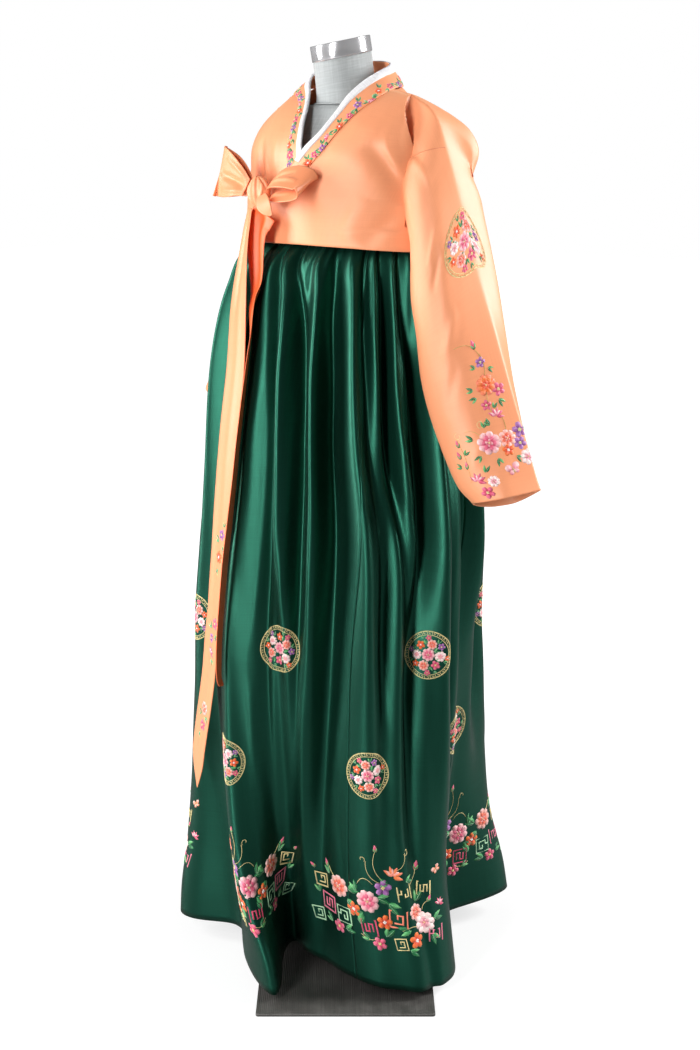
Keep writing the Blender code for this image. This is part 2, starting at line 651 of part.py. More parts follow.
def back_top(x):
    """The back's top edge: the shoulder line, rising a little between the two neck points."""
    return shoulder_height(x) + BACK_RISE * np.maximum(1 - (x / NECK_END) ** 2, 0)


def body_panel(name, start_edge, end_edge, front, lift, finish, shares, heights):
    """A panel between two upright edges, from the hem to the shoulder line."""
    s, height = np.meshgrid(shares, heights)
    half_width = smooth(height, JACKET["z"], JACKET["half_width"])
    start = np.arcsin(np.clip(start_edge(height) / half_width, -1, 1))
    end = np.arcsin(np.clip(end_edge(height) / half_width, -1, 1))
    x = half_width * np.sin(start + (end - start) * s)
    if front:
        stretch = (shoulder_height(x) - LEVEL_Z) / (shoulder_height(x[:, :1]) - LEVEL_Z)
    else:
        stretch = (back_top(x) - LEVEL_Z) / (heights[-1] - LEVEL_Z)
    z = np.where(height > LEVEL_Z, LEVEL_Z + (height - LEVEL_Z) * stretch, height)
    low_share = np.clip((LEVEL_Z - height) / (LEVEL_Z - HEM_Z), 0, 1) ** 2
    z = z + HEM_RISE * low_share * np.maximum(1 - (x / half_width) ** 2, 0)
    out_y = -1 if front else 1
    depth = jacket_depth(x, z, front, lift)
    outer = np.stack([x, out_y * (depth + 2 * GAP), z], axis=-1)
    out = normals(outer)
    out = out * np.where((out * (0, out_y, 0.4)).sum(axis=-1).mean() < 0, -1, 1)
    inner = outer - out * JACKET_WALL
    inner[-1, :, 1] = outer[-1, :, 1]
    inner[-1, :, 2] = outer[-1, :, 2] - JACKET_WALL
    return wall(name, outer, inner, finish)


def collar_edges():
    """The collar's two edges as rows of points, each with its stand-off from the front it edges."""
    places = np.arange(len(COLLAR["lift"]))
    t = np.linspace(0, places[-1], places[-1] * COLLAR_PARTS + 1)
    read = {k: smooth(t, places, COLLAR[k]) for k in COLLAR}
    edges = []
    for side in ("outer_", "inner_"):
        x, y, z, rest = (read[side + k] for k in ("x", "y", "z", "rest"))
        rest = np.clip(rest, 0, 1)
        on_front = -jacket_depth(x, z, True, read["lift"] * LAP) - GAP
        edges.append(np.stack([x, y * (1 - rest) + on_front * rest, z], axis=1))
    return edges


def collar_faces(first, last, shares, out):
    """Points and directions across part of the collar's width, from one table row to another."""
    outer, inner = collar_edges()
    width = inner - outer
    looks = [unit(np.cross(np.gradient(edge, axis=0), width)) for edge in (outer, inner)]
    side = 1 if looks[0][len(outer) // 2, 1] > 0 else -1
    rows = slice(first * COLLAR_PARTS, last * COLLAR_PARTS + 1)
    across = np.array(shares)[None, :, None]
    points = outer[:, None] + width[:, None] * across
    look = side * unit(looks[0][:, None] * (1 - across) + looks[1][:, None] * across)
    return points[rows] + look[rows] * out, look[rows]


def front_heights(side, rows, below):
    """Row heights of a front: some below the collar, the collar's own, and the shoulder line's."""
    return np.array([*below, *np.sort(COLLAR["outer_z"][rows]), shoulder_height(side * NECK_END)])


def front_edge(part, column, side):
    """A front's inner edge as heights and places: its table row below the collar, then the collar."""
    neck = collar_edges()[0][part]
    end_z = float(shoulder_height(side * NECK_END))
    neck = neck[(neck[:, 1] < 0) & (neck[:, 2] < end_z - 0.002)]
    neck = neck[np.argsort(neck[:, 2])]
    low = FRONT_EDGES["z"] < neck[0, 2] - 0.003
    z = np.concatenate([FRONT_EDGES["z"][low], neck[:, 2], [end_z]])
    x = [FRONT_EDGES[column][low], neck[:, 0] + side * SEAM_GAP, [side * (NECK_END + GAP)]]
    x = np.concatenate(x)
    return lambda height: np.interp(height, z, x)


def make_jacket():
    peach = material("jacket_satin", PEACH, 0.45)
    last = len(COLLAR["lift"]) - 1
    middle = last * COLLAR_PARTS // 2
    left_edge = front_edge(slice(middle, None), "outer_front", 1)
    right_edge = front_edge(slice(0, middle), "inner_front", -1)

    heights = front_heights(1, slice(15, None), (HEM_Z, 1.274, 1.290, 1.310))
    shares = np.linspace(0, 1, 12)
    body_panel("jacket_front_left", left_edge, side_edge, True, LAP, peach, shares, heights)

    def right_side(height):
        return -side_edge(height)

    heights = front_heights(-1, slice(0, 8), (HEM_Z, 1.274, 1.290, 1.330))
    shares = np.linspace(0, 1, 10)
    body_panel("jacket_front_right", right_edge, right_side, True, 0.0, peach, shares, heights)

    half = JACKET["half_width"][-1]
    shares = 0.5 + 0.5 * np.arcsin(BACK_PLACES / half) / math.asin(ARMHOLE_X / half)
    body_panel("jacket_back", right_side, side_edge, False, 0.0, peach, shares, BACK_HEIGHTS)

    points, look = collar_faces(0, last, (0, STRIP_START, 1), COLLAR_OUT)
    wall("collar", points, points - look * COLLAR_WALL, peach)
    points, look = collar_faces(*STRIP_ROWS, (STRIP_START, 1), COLLAR_OUT + STRIP_OUT + STRIP_WALL)
    wall("collar_strip", points, points - look * STRIP_WALL, material("strip_cotton", WHITE, 0.6))


def armhole_ring(side, turn):
    """The armhole's outline, in the order of a sleeve's ring: top, front, underarm, back."""
    c, s = np.cos(turn), np.sin(turn)
    at = side * ARMHOLE_X
    top, under = shoulder_height(at), UNDERARM - UNDER_DIP
    z = (top + under) / 2 + (top - under) / 2 * c
    open_share = np.clip(np.abs(s) / 0.45, 0, 1) ** 0.8
    lift = LAP if side > 0 else 0.0
    depth = np.where(s > 0, jacket_depth(at, z, True, lift), jacket_depth(at, z, False))
    y = -np.sign(s) * depth * np.where(c < 0, open_share, 1)
    below = smooth(UNDERARM, JACKET["z"], JACKET["half_width"]) - ARMHOLE_X
    x = ARMHOLE_X + SLEEVE_GAP + np.where(c < 0, (1 - open_share) * below - UNDER_GAP * c, 0)
    return np.stack([side * x, y, z + SLEEVE_GAP], axis=1)


def sleeve_rings(sleeve, rings, sides):
    """Rings of a flattened tube: blunt along its top edge and sharp along the underarm."""
    places = np.linspace(0, 1, len(sleeve["top_x"]))
    t = np.linspace(0, 1, rings)
    read = {k: smooth(t, places, sleeve[k]) for k in sleeve}
    top = np.stack([read["top_" + k] for k in "xyz"], axis=1)
    under = np.stack([read["under_" + k] for k in "xyz"], axis=1)
    middle, half = (top + under) / 2, (top - under) / 2
    along = unit(np.gradient(middle, axis=0))
    face = unit(np.cross(along, half))
    face *= np.where(face[:, 1:2] > 0, -1, 1)  # the front face looks to -Y
    turn = np.arange(sides) * math.tau / sides
    c, s = np.cos(turn), np.sin(turn)
    swell = np.sign(s) * np.abs(s) ** np.where(c > 0, 0.7, 1.3)
    depth = np.where(s > 0, read["front"][:, None], read["back"][:, None]) * swell
    points = middle[:, None] + half[:, None] * c[None, :, None] + face[:, None] * depth[..., None]
    low = np.clip((t - 0.8) / 0.2, 0, 1)[:, None] ** 2 * np.clip(-s, 0, 1)[None, :]
    points[..., 2] -= CUFF_DROP * low
    points[0] = armhole_ring(np.sign(sleeve["top_x"][0]), turn)
    return points


def make_sleeve(name, sleeve):
    outer = sleeve_rings(sleeve, SLEEVE_RINGS, SLEEVE_SIDES)
    out = normals(outer, tube=True)
    out[0] = out[1]
    out[0, :, 0] = 0
    out = unit(out)
    centre = outer.mean(axis=1, keepdims=True)
    out *= np.where(((outer - centre) * out).sum(axis=-1).mean() < 0, -1, 1)
    wall(name, outer, outer - out * JACKET_WALL, material("jacket_satin", PEACH, 0.45), tube=True)


# ---- bow ---------------------------------------------------------------------------------------


def clear_of_skirt(route):
    """The same route with each row moved straight out until its band clears the skirt."""
    places = np.arange(len(route["z"]))
    finer = np.linspace(0, places[-1], 3 * len(places))
    rows = np.column_stack([smooth(finer, places, route[k]) for k in route])
    spread = np.linspace(-0.5, 0.5, 7)
    degrees = np.arange(180, 361, 0.5)
    for row in rows:
        x, y, z, look_x, look_y, _, width = row
        level = (SKIRT["z"][0] - z) / (SKIRT["z"][0] - SKIRT["z"][-1])
        if level < 0.03:
            continue
        skirt = skirt_points(degrees, np.full_like(degrees, level))
        headings = np.arctan2(skirt[:, 1], skirt[:, 0])
        reaches = np.hypot(skirt[:, 0], skirt[:, 1])
        order = np.argsort(headings)
        side = unit(np.array([-look_y, look_x]))
        px, py = x + side[0] * spread * width, y + side[1] * spread * width
        needed = np.interp(np.arctan2(py, px), headings[order], reaches[order]) + TIE_CLEAR + TIE_WALL
        short = max(0.0, (needed - np.hypot(px, py)).max())
        out = unit(np.array([x, y]))
        row[:2] += out * short
    return dict(zip(route, rows.T))


def make_bow():
    pale = material("tie_satin", PALE_PEACH, 0.45)
    ribbon("tie_tail_long", clear_of_skirt(TIE_LONG), pale, 24, across=3)
    ribbon("tie_tail_short", clear_of_skirt(TIE_SHORT), pale, 22, across=3)
    ribbon("tie_loop_left", LOOP_LEFT, pale, 24, across=4)
    ribbon("tie_loop_right", LOOP_RIGHT, pale, 24, across=4)
    ribbon("tie_end", TIE_END, pale, 7, across=3)
    sides, rows = 16, 9
    turn = np.arange(sides) * math.tau / sides
    rings = []
    for latitude in np.linspace(-80, 80, rows):
        c, s = math.cos(math.radians(latitude)), math.sin(math.radians(latitude))
        ring = np.stack([np.cos(turn) * c, np.sin(turn) * c, np.full(sides, s)], axis=1)
        rings.append(ring * KNOT_RADII + KNOT_CENTRE)
    loft("tie_knot", np.array(rings), pale)


def main():
    for old in list(bpy.data.objects):
        bpy.data.objects.remove(old)
    make_stand()
    make_form()
    make_band()
    make_skirt()
    make_jacket()
    make_sleeve("sleeve_left", SLEEVE_LEFT)
    make_sleeve("sleeve_right", SLEEVE_RIGHT)
    make_bow()


main()
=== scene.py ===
"""Korean hanbok on a limbless dress form: the finished looks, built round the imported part.

Metres, +Z up, in the part's own frame: the garment's front faces -Y and the wearer's left is +X.
Cloth pieces are fine grids on the part's own outlines, with gathers, creases, seams and stitching.
"""

import json
import math

import bmesh
import bpy
import numpy as np
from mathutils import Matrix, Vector

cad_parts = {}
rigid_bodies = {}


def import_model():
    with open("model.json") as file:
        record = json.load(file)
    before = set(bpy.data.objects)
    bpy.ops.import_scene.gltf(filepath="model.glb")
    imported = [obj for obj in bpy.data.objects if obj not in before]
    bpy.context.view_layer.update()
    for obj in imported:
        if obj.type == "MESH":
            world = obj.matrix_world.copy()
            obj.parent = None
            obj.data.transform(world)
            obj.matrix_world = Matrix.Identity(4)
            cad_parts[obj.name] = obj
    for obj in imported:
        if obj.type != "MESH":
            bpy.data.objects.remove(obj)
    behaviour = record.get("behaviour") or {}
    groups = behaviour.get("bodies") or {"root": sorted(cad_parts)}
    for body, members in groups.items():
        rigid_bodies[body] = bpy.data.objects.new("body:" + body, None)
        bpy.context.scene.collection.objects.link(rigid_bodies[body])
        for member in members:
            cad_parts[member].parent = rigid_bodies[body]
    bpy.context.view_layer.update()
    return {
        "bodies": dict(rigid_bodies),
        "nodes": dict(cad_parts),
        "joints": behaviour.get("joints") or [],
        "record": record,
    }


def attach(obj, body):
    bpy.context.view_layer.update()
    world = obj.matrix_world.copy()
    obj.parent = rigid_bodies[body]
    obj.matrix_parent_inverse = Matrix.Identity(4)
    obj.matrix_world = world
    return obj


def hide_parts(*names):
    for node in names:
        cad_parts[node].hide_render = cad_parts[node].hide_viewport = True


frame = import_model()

GAP = 0.0003  # between two pieces that meet
SKIRT_WALL = 0.0010
JACKET_WALL = 0.0018
TIE_WALL = 0.0012
LAP = 0.0052  # how far one front stands over the other


def table(columns, rows):
    """One array for each named column."""
    return dict(zip(columns.split(), np.array(rows, float).T))


# ---- driving sizes -----------------------------------------------------------------------------

# The base plate is turned by PLATE_TURN about Z, and the pole stands near its rear edge.
PLATE_TURN = math.radians(40)
PLATE_WIDTH = 0.300
PLATE_FRONT = 0.302  # from the pole to the front edge
PLATE_REAR = 0.100
PLATE_THICK = 0.005

FORM = table(
    "z half_width front back",
    [
        (0.840, 0.060, 0.050, 0.050),
        (0.846, 0.118, 0.088, 0.092),
        (0.900, 0.150, 0.106, 0.112),
        (1.000, 0.145, 0.098, 0.106),
        (1.100, 0.122, 0.082, 0.078),
        (1.200, 0.130, 0.086, 0.076),
        (1.300, 0.140, 0.090, 0.078),
        (1.360, 0.148, 0.101, 0.080),
        (1.410, 0.146, 0.088, 0.080),
        (1.445, 0.132, 0.066, 0.068),
        (1.466, 0.100, 0.053, 0.056),
        (1.474, 0.060, 0.048, 0.050),
    ],
)
NECK_LEAN = math.radians(11.6)
NECK_HEADING = math.radians(-127)  # the way the neck leans
NECK = table(
    "z radius along",
    [(1.480, 0.0530, -0.004), (1.490, 0.0500, -0.003), (1.510, 0.0478, 0.000), (1.548, 0.0470, 0.005)],
)
CAP_RADIUS = 0.0485
CAP_THICK = 0.0245

# Skirt outline at each height, before its folds. The shares say how far hem folds and long waves
# have grown there.
SKIRT = table(
    "z half_width front back shift hem_share wave_share",
    [
        (1.300, 0.1570, 0.0990, 0.0900, 0.000, 0.00, 0.00),
        (1.258, 0.1690, 0.1100, 0.0960, -0.002, 0.00, 0.05),
        (1.238, 0.1820, 0.1280, 0.1120, -0.005, 0.00, 0.20),
        (1.180, 0.1990, 0.1510, 0.1380, -0.008, 0.02, 0.55),
        (1.090, 0.2110, 0.1780, 0.1660, -0.008, 0.04, 0.85),
        (0.960, 0.2225, 0.2025, 0.1910, -0.008, 0.07, 1.00),
        (0.800, 0.2370, 0.2260, 0.2160, -0.005, 0.12, 1.00),
        (0.600, 0.2390, 0.2350, 0.2290, -0.015, 0.21, 1.00),
        (0.380, 0.2385, 0.2395, 0.2355, -0.017, 0.41, 0.85),
        (0.180, 0.2400, 0.2430, 0.2390, -0.018, 0.73, 0.60),
        (0.070, 0.2500, 0.2520, 0.2500, -0.014, 0.96, 0.50),
        (0.020, 0.2540, 0.2540, 0.2540, -0.012, 1.00, 0.50),
    ],
)
SWAY = (math.cos(PLATE_TURN), math.sin(PLATE_TURN))  # the way the shift column moves the skirt
# Large folds at the hem, crest and valley in turn: the angle about Z, how far the cloth is carried
# round from there at the hem, how far it reaches from the skirt's own centre, and the hem's height.
HEM_FOLDS = table(
    "angle turn reach height",
    [
        (-176, 0, 0.226, 0.050),
        (-158, 0, 0.240, 0.074),
        (-142, 2, 0.292, 0.040),
        (-124, 3, 0.200, 0.042),
        (-106, 13, 0.232, 0.032),
        (-98, 25, 0.284, 0.018),
        (-90, 16, 0.240, 0.026),
        (-80, -5, 0.156, 0.036),
        (-50, 2, 0.206, 0.027),
        (-22, 4, 0.297, 0.020),
        (-7, -1, 0.282, 0.022),
        (22, 12, 0.188, 0.038),
        (46, 6, 0.322, 0.052),
        (72, 0, 0.214, 0.050),
        (100, 4, 0.296, 0.038),
        (126, 0, 0.216, 0.044),
        (156, -4, 0.290, 0.040),
    ],
)

# Long soft waves that run down from the gathers: angle about Z, depth and half width in degrees.
WAVES = table(
    "angle depth half_width",
    [
        (-170, 0.010, 6), (-152, -0.008, 5), (-134, 0.011, 6), (-120, -0.009, 4.5),
        (-106, 0.011, 4.5), (-94, -0.010, 4), (-81, 0.011, 5), (-68, 0.008, 4.5),
        (-56, -0.012, 5), (-42, 0.011, 5), (-33, -0.006, 3), (-27, 0.007, 3.5),
        (-19, -0.009, 3.5), (-8, 0.011, 5.5), (6, -0.010, 5), (21, 0.010, 6),
        (36, -0.009, 5), (52, 0.011, 6), (70, -0.010, 6), (86, 0.011, 6),
        (101, -0.009, 5), (117, 0.010, 6), (133, -0.010, 6), (150, 0.011, 6),
        (168, -0.009, 5),
    ],
)

# Skirt widths of cloth: name, first angle and last angle.
SKIRT_PIECES = (
    ("skirt_back_left", 15, 90),
    ("skirt_back_right", 90, 165),
    ("skirt_right", 165, 240),
    ("skirt_front", 240, 315),
    ("skirt_left", 315, 375),
)
BAND = table("z half_width front back", [(1.302, 0.157, 0.098, 0.090), (1.385, 0.158, 0.108, 0.092)])

# Jacket body outline at each height.
JACKET = table(
    "z half_width front back",
    [
        (1.235, 0.188, 0.129, 0.112),
        (1.300, 0.183, 0.125, 0.108),
        (1.360, 0.177, 0.122, 0.106),
        (1.410, 0.175, 0.115, 0.104),
        (1.450, 0.175, 0.102, 0.098),
        (1.500, 0.175, 0.080, 0.090),
    ],
)
ARMHOLE_X = 0.170
ARMHOLE_LEAN = 0.035  # how far the armhole leans in at the shoulder
UNDERARM = 1.288
SLEEVE_TUCK = 0.0010  # how far the sleeve's first ring reaches in past the armhole
UNDER_DIP = 0.010  # how far the sleeve's own lowest point lies below that
NECK_POINT = 0.090  # from the middle to where the shoulder line starts to fall
NECK_END = 0.101  # from the middle to where the shoulder line meets the collar
LEVEL_Z = 1.300  # rows of points below this run level, and those above fan out to the shoulder line
BACK_RISE = 0.014  # how far the back's neck edge stands over the neck points
HEM_Z = 1.247  # at the side seams; the hem rises by HEM_RISE at the middle
HEM_RISE = 0.010
SHOULDER_Z = 1.500
SHOULDER_DROP = (0.66, 0.24)  # the fall of the right and the left shoulder, to each metre out
PLAN_POWER = 0.435  # how full the body's plan outline is; 0.5 is an ellipse
FRONT_ROUNDS_FROM = 1.385  # the height where the front starts to round in to the shoulder line
BACK_ROUNDS_FROM = 1.420
BACK_NECK_RISE = 0.056
SHOULDER_POWERS = (2.2, 0.6)  # how the body rounds in between there and the shoulder line

# Front edges below the collar, at each height. Above that a front ends at the collar's outer edge.
FRONT_EDGES = table(
    "z outer_front inner_front",
    [
        (1.230, -0.104, 0.036),
        (1.300, -0.078, 0.026),
        (1.312, -0.068, 0.025),
        (1.330, -0.058, 0.020),
        (1.345, -0.030, 0.002),
        (1.362, -0.004, -0.021),
    ],
)

# The collar's two edges, from the right front, round the neck, and down the left front. Where a rest
# share is 1 that edge lies on the front, and its y is worked out.
COLLAR = table(
    "outer_x outer_y outer_z inner_x inner_y inner_z outer_rest inner_rest lift",
    [
        (-0.0175, -0.118, 1.3660, 0.0150, -0.1200, 1.3880, 1, 1.0, 0),
        (-0.0195, -0.118, 1.3760, 0.0125, -0.1180, 1.3930, 1, 1.0, 0),
        (-0.0236, -0.114, 1.4030, 0.0060, -0.1140, 1.4090, 1, 1.0, 0),
        (-0.0294, -0.102, 1.4246, -0.0010, -0.1040, 1.4280, 1, 1.0, 0),
        (-0.0361, -0.086, 1.4456, -0.0125, -0.0836, 1.4494, 1, 1.0, 0),
        (-0.0460, -0.064, 1.4652, -0.0240, -0.0640, 1.4700, 1, 0.4, 0),
        (-0.0620, -0.042, 1.4800, -0.0400, -0.0400, 1.4900, 1, 0.0, 0),
        (-0.0860, -0.020, 1.4900, -0.0590, -0.0170, 1.5080, 1, 0.0, 0),
        (-0.1010, 0.000, 1.4970, -0.0680, 0.0040, 1.5220, 0, 0.0, 0),
        (-0.0880, 0.0395, 1.5015, -0.0640, 0.0320, 1.5340, 0, 0.0, 0),
        (-0.0500, 0.0575, 1.5088, -0.0400, 0.0530, 1.5400, 0, 0.0, 0),
        (0.0000, 0.0680, 1.5118, 0.0000, 0.0620, 1.5430, 0, 0.0, 0),
        (0.0500, 0.0575, 1.5088, 0.0400, 0.0530, 1.5410, 0, 0.0, 1),
        (0.0880, 0.0395, 1.5015, 0.0640, 0.0330, 1.5340, 0, 0.0, 1),
        (0.1010, 0.000, 1.4970, 0.0680, -0.0020, 1.5220, 0, 0.0, 1),
        (0.0980, -0.035, 1.4828, 0.0600, -0.0300, 1.5060, 1, 0.0, 1),
        (0.0860, -0.061, 1.4663, 0.0510, -0.0570, 1.4840, 1, 0.0, 1),
        (0.0735, -0.086, 1.4435, 0.0440, -0.0830, 1.4560, 1, 0.5, 1),
        (0.0600, -0.108, 1.4150, 0.0340, -0.1053, 1.4290, 1, 1.0, 1),
        (0.0470, -0.117, 1.3960, 0.0180, -0.1150, 1.4090, 1, 1.0, 1),
        (0.0290, -0.123, 1.3768, 0.0020, -0.1220, 1.3880, 1, 1.0, 1),
        (0.0090, -0.125, 1.3600, -0.0140, -0.1230, 1.3740, 1, 1.0, 1),
        (-0.0140, -0.126, 1.3440, -0.0330, -0.1230, 1.3600, 1, 1.0, 1),
        (-0.0420, -0.126, 1.3280, -0.0560, -0.1230, 1.3460, 1, 1.0, 1),
    ],
)
COLLAR_PARTS = 2  # rows of points to each row of the table
STRIP_START = 0.66  # where the white strip starts, across the collar from its outer edge
STRIP_ROWS = (0.5, 20)  # the table rows where the strip ends, under the left front and at its own end

# Sleeves: the top edge and the underarm edge of the flattened tube, and how far each face swells.
# They start at the armhole, whose outline is the jacket's own.
SLEEVE_COLUMNS = "top_x top_y top_z under_x under_y under_z front back lean rise"
SLEEVE_LEFT = table(
    SLEEVE_COLUMNS,
    [
        (0.135, 0.000, 1.489, 0.170, 0.000, 1.284, 0.042, 0.042, 0.060, 0.050),
        (0.190, -0.012, 1.458, 0.178, -0.040, 1.265, 0.032, 0.035, 0.047, 0.028),
        (0.223, -0.014, 1.388, 0.184, -0.060, 1.231, 0.028, 0.036, 0.071, 0.014),
        (0.252, -0.012, 1.302, 0.194, -0.072, 1.184, 0.028, 0.032, 0.084, 0.000),
        (0.280, -0.010, 1.213, 0.207, -0.076, 1.128, 0.028, 0.030, 0.084, 0.000),
        (0.316, -0.004, 1.108, 0.219, -0.074, 1.050, 0.027, 0.030, 0.074, 0.000),
        (0.350, 0.000, 1.009, 0.242, -0.068, 0.969, 0.026, 0.030, 0.060, 0.000),
        (0.380, 0.003, 0.929, 0.277, -0.060, 0.894, 0.028, 0.030, 0.034, 0.000),
        (0.396, 0.004, 0.888, 0.303, -0.050, 0.862, 0.030, 0.030, 0.006, 0.000),
    ],
)
SLEEVE_RIGHT = table(
    SLEEVE_COLUMNS,
    [
        (-0.150, 0.000, 1.460, -0.170, 0.000, 1.284, 0.042, 0.042, 0.000, 0.000),
        (-0.184, 0.010, 1.412, -0.188, 0.000, 1.262, 0.030, 0.040, 0.006, 0.000),
        (-0.208, 0.020, 1.340, -0.198, 0.014, 1.222, 0.026, 0.036, 0.012, 0.000),
        (-0.244, 0.034, 1.248, -0.218, 0.024, 1.168, 0.024, 0.032, 0.014, 0.000),
        (-0.290, 0.048, 1.154, -0.243, 0.032, 1.108, 0.023, 0.029, 0.010, 0.000),
        (-0.341, 0.064, 1.066, -0.274, 0.043, 1.045, 0.023, 0.027, 0.006, 0.000),
        (-0.388, 0.083, 1.008, -0.314, 0.057, 0.988, 0.024, 0.027, 0.002, 0.000),
        (-0.427, 0.102, 0.968, -0.350, 0.070, 0.945, 0.026, 0.028, 0.000, 0.000),
    ],
)
CUFF_DROP = 0.014  # how much lower the back face of the cuff hangs

# Bow: routes of bands, each row a point of the middle line, the way the face looks, and the width.
TIE_COLUMNS = "x y z look_x look_y look_z width"
TIE_CLEAR = 0.0055  # between a hanging tail and the skirt
TIE_LONG = table(
    TIE_COLUMNS,
    [
        (-0.078, -0.147, 1.312, -0.60, -0.80, 0.00, 0.034),
        (-0.083, -0.157, 1.253, -0.50, -0.87, 0.00, 0.040),
        (-0.079, -0.176, 1.166, -0.36, -0.93, 0.00, 0.056),
        (-0.068, -0.198, 1.056, -0.27, -0.96, 0.00, 0.056),
        (-0.070, -0.216, 0.943, -0.28, -0.96, 0.00, 0.056),
        (-0.072, -0.233, 0.811, -0.32, -0.95, 0.00, 0.056),
        (-0.079, -0.241, 0.679, -0.36, -0.93, 0.00, 0.056),
        (-0.091, -0.243, 0.602, -0.40, -0.92, 0.00, 0.056),
        (-0.104, -0.241, 0.524, -0.42, -0.91, 0.00, 0.056),
        (-0.130, -0.238, 0.411, -0.45, -0.89, 0.00, 0.058),
        (-0.137, -0.237, 0.368, -0.46, -0.88, 0.00, 0.052),
        (-0.141, -0.236, 0.320, -0.46, -0.88, 0.00, 0.002),
    ],
)
TIE_SHORT = table(
    TIE_COLUMNS,
    [
        (-0.046, -0.147, 1.305, -0.05, -1.00, 0.00, 0.052),
        (-0.060, -0.152, 1.270, -0.20, -1.00, 0.00, 0.050),
        (-0.054, -0.160, 1.199, -0.35, -0.90, 0.00, 0.046),
        (-0.034, -0.178, 1.129, -0.66, -0.75, 0.00, 0.036),
        (-0.030, -0.191, 1.066, -0.80, -0.60, 0.00, 0.029),
        (-0.030, -0.201, 1.010, -0.84, -0.54, 0.00, 0.028),
        (-0.028, -0.218, 0.898, -0.86, -0.50, 0.00, 0.030),
        (-0.029, -0.233, 0.784, -0.88, -0.47, 0.00, 0.034),
        (-0.031, -0.243, 0.666, -0.88, -0.47, 0.00, 0.034),
        (-0.035, -0.252, 0.564, -0.88, -0.47, 0.00, 0.028),
        (-0.035, -0.255, 0.542, -0.88, -0.47, 0.00, 0.004),
    ],
)
LOOP_LEFT = table(
    TIE_COLUMNS,
    [
        (-0.078, -0.155, 1.344, 0.10, -0.98, 0.15, 0.030),
        (-0.098, -0.156, 1.354, 0.05, -0.99, 0.10, 0.052),
        (-0.124, -0.150, 1.362, 0.00, -1.00, 0.05, 0.072),
        (-0.146, -0.143, 1.368, -0.50, -0.85, 0.15, 0.082),
        (-0.149, -0.139, 1.368, -1.00, 0.00, 0.30, 0.082),
        (-0.140, -0.135, 1.366, -0.30, 0.95, 0.15, 0.080),
        (-0.118, -0.137, 1.360, 0.05, 1.00, -0.05, 0.068),
        (-0.097, -0.141, 1.352, 0.05, 1.00, -0.10, 0.050),
        (-0.078, -0.145, 1.342, 0.00, 1.00, -0.10, 0.028),
    ],
)
LOOP_RIGHT = table(
    TIE_COLUMNS,
    [
        (-0.024, -0.156, 1.352, 0.00, -0.60, 0.80, 0.026),
        (-0.004, -0.160, 1.361, 0.00, -0.62, 0.78, 0.044),
        (0.024, -0.160, 1.364, 0.05, -0.62, 0.78, 0.052),
        (0.046, -0.158, 1.360, 0.45, -0.55, 0.70, 0.052),
        (0.053, -0.156, 1.352, 1.00, -0.10, 0.10, 0.050),
        (0.044, -0.153, 1.344, 0.40, 0.55, -0.75, 0.050),
        (0.022, -0.152, 1.340, 0.00, 0.62, -0.78, 0.048),
        (-0.004, -0.152, 1.336, 0.00, 0.62, -0.78, 0.040),
        (-0.024, -0.152, 1.333, 0.00, 0.60, -0.80, 0.026),
    ],
)
TIE_END = table(
    TIE_COLUMNS,
    [
        (-0.030, -0.171, 1.334, 0.10, -0.90, 0.40, 0.018),
        (-0.020, -0.178, 1.322, 0.10, -0.95, 0.25, 0.026),
        (-0.010, -0.180, 1.312, 0.10, -1.00, 0.10, 0.020),
        (-0.002, -0.178, 1.304, 0.10, -1.00, 0.10, 0.004),
    ],
)
KNOT_CENTRE = (-0.0500, -0.1540, 1.3380)
KNOT_RADII = (0.0220, 0.0130, 0.0250)


# ---- reading tables ----------------------------------------------------------------------------


def smooth(at, places, values):
    """A smooth curve through a table's rows, flat past its ends: cubic pieces with averaged slopes."""
    places, values = np.asarray(places, float), np.asarray(values, float)
    if places[0] > places[-1]:
        places, values = places[::-1], values[::-1]
    at = np.clip(at, places[0], places[-1])
    slopes = np.gradient(values, places)
    i = np.clip(np.searchsorted(places, at, side="right") - 1, 0, len(places) - 2)
    span = places[i + 1] - places[i]
    t = (at - places[i]) / span
    start, end = values[i], values[i + 1]
    return (
        start * (1 + 2 * t) * (1 - t) ** 2
        + end * t**2 * (3 - 2 * t)
        + slopes[i] * span * t * (1 - t) ** 2
        - slopes[i + 1] * span * t**2 * (1 - t)
    )


def around(degrees, angles, values):
    """The same for a column that closes on itself round the skirt."""
    angles = np.concatenate([angles[-2:] - 360, angles, angles[:3] + 360])
    values = np.concatenate([values[-2:], values, values[:3]])
    start = angles[1]
    return smooth((degrees - start) % 360 + start, angles, values)


def unit(vectors):
    return vectors / np.maximum(np.linalg.norm(vectors, axis=-1, keepdims=True), 1e-12)


def oval(degrees, half_width, front, back, squareness=1.0):
    """A plan outline: half an oval to the front and half to the back, angle 0 at +X."""
    angle = np.radians(degrees)
    depth = np.where(np.sin(angle) < 0, front, back)
    y = np.sign(np.sin(angle)) * np.abs(np.sin(angle)) ** squareness
    return half_width * np.cos(angle), depth * y


def creases(across, along, rows):
    """The sum of listed creases on a surface laid out in metres, ridges up and troughs down.

    Each is a bell curve of its own width and depth about a bowed line, and dies away at both ends:
    depth * (4 s (1 - s))^0.7 * exp(-(distance / width)^2), with s the share of the way along.
    """
    total = np.zeros(np.broadcast(across, along).shape)
    for a0, b0, a1, b1, width, depth, bow in rows:
        length = math.hypot(a1 - a0, b1 - b0)
        u, v = (a1 - a0) / length, (b1 - b0) / length
        s = np.clip(((across - a0) * u + (along - b0) * v) / length, 0, 1)
        aside = (along - b0) * u - (across - a0) * v - bow * 4 * s * (1 - s)
        total += depth * (4 * s * (1 - s)) ** 0.7 * np.exp(-((aside / width) ** 2))
    return total


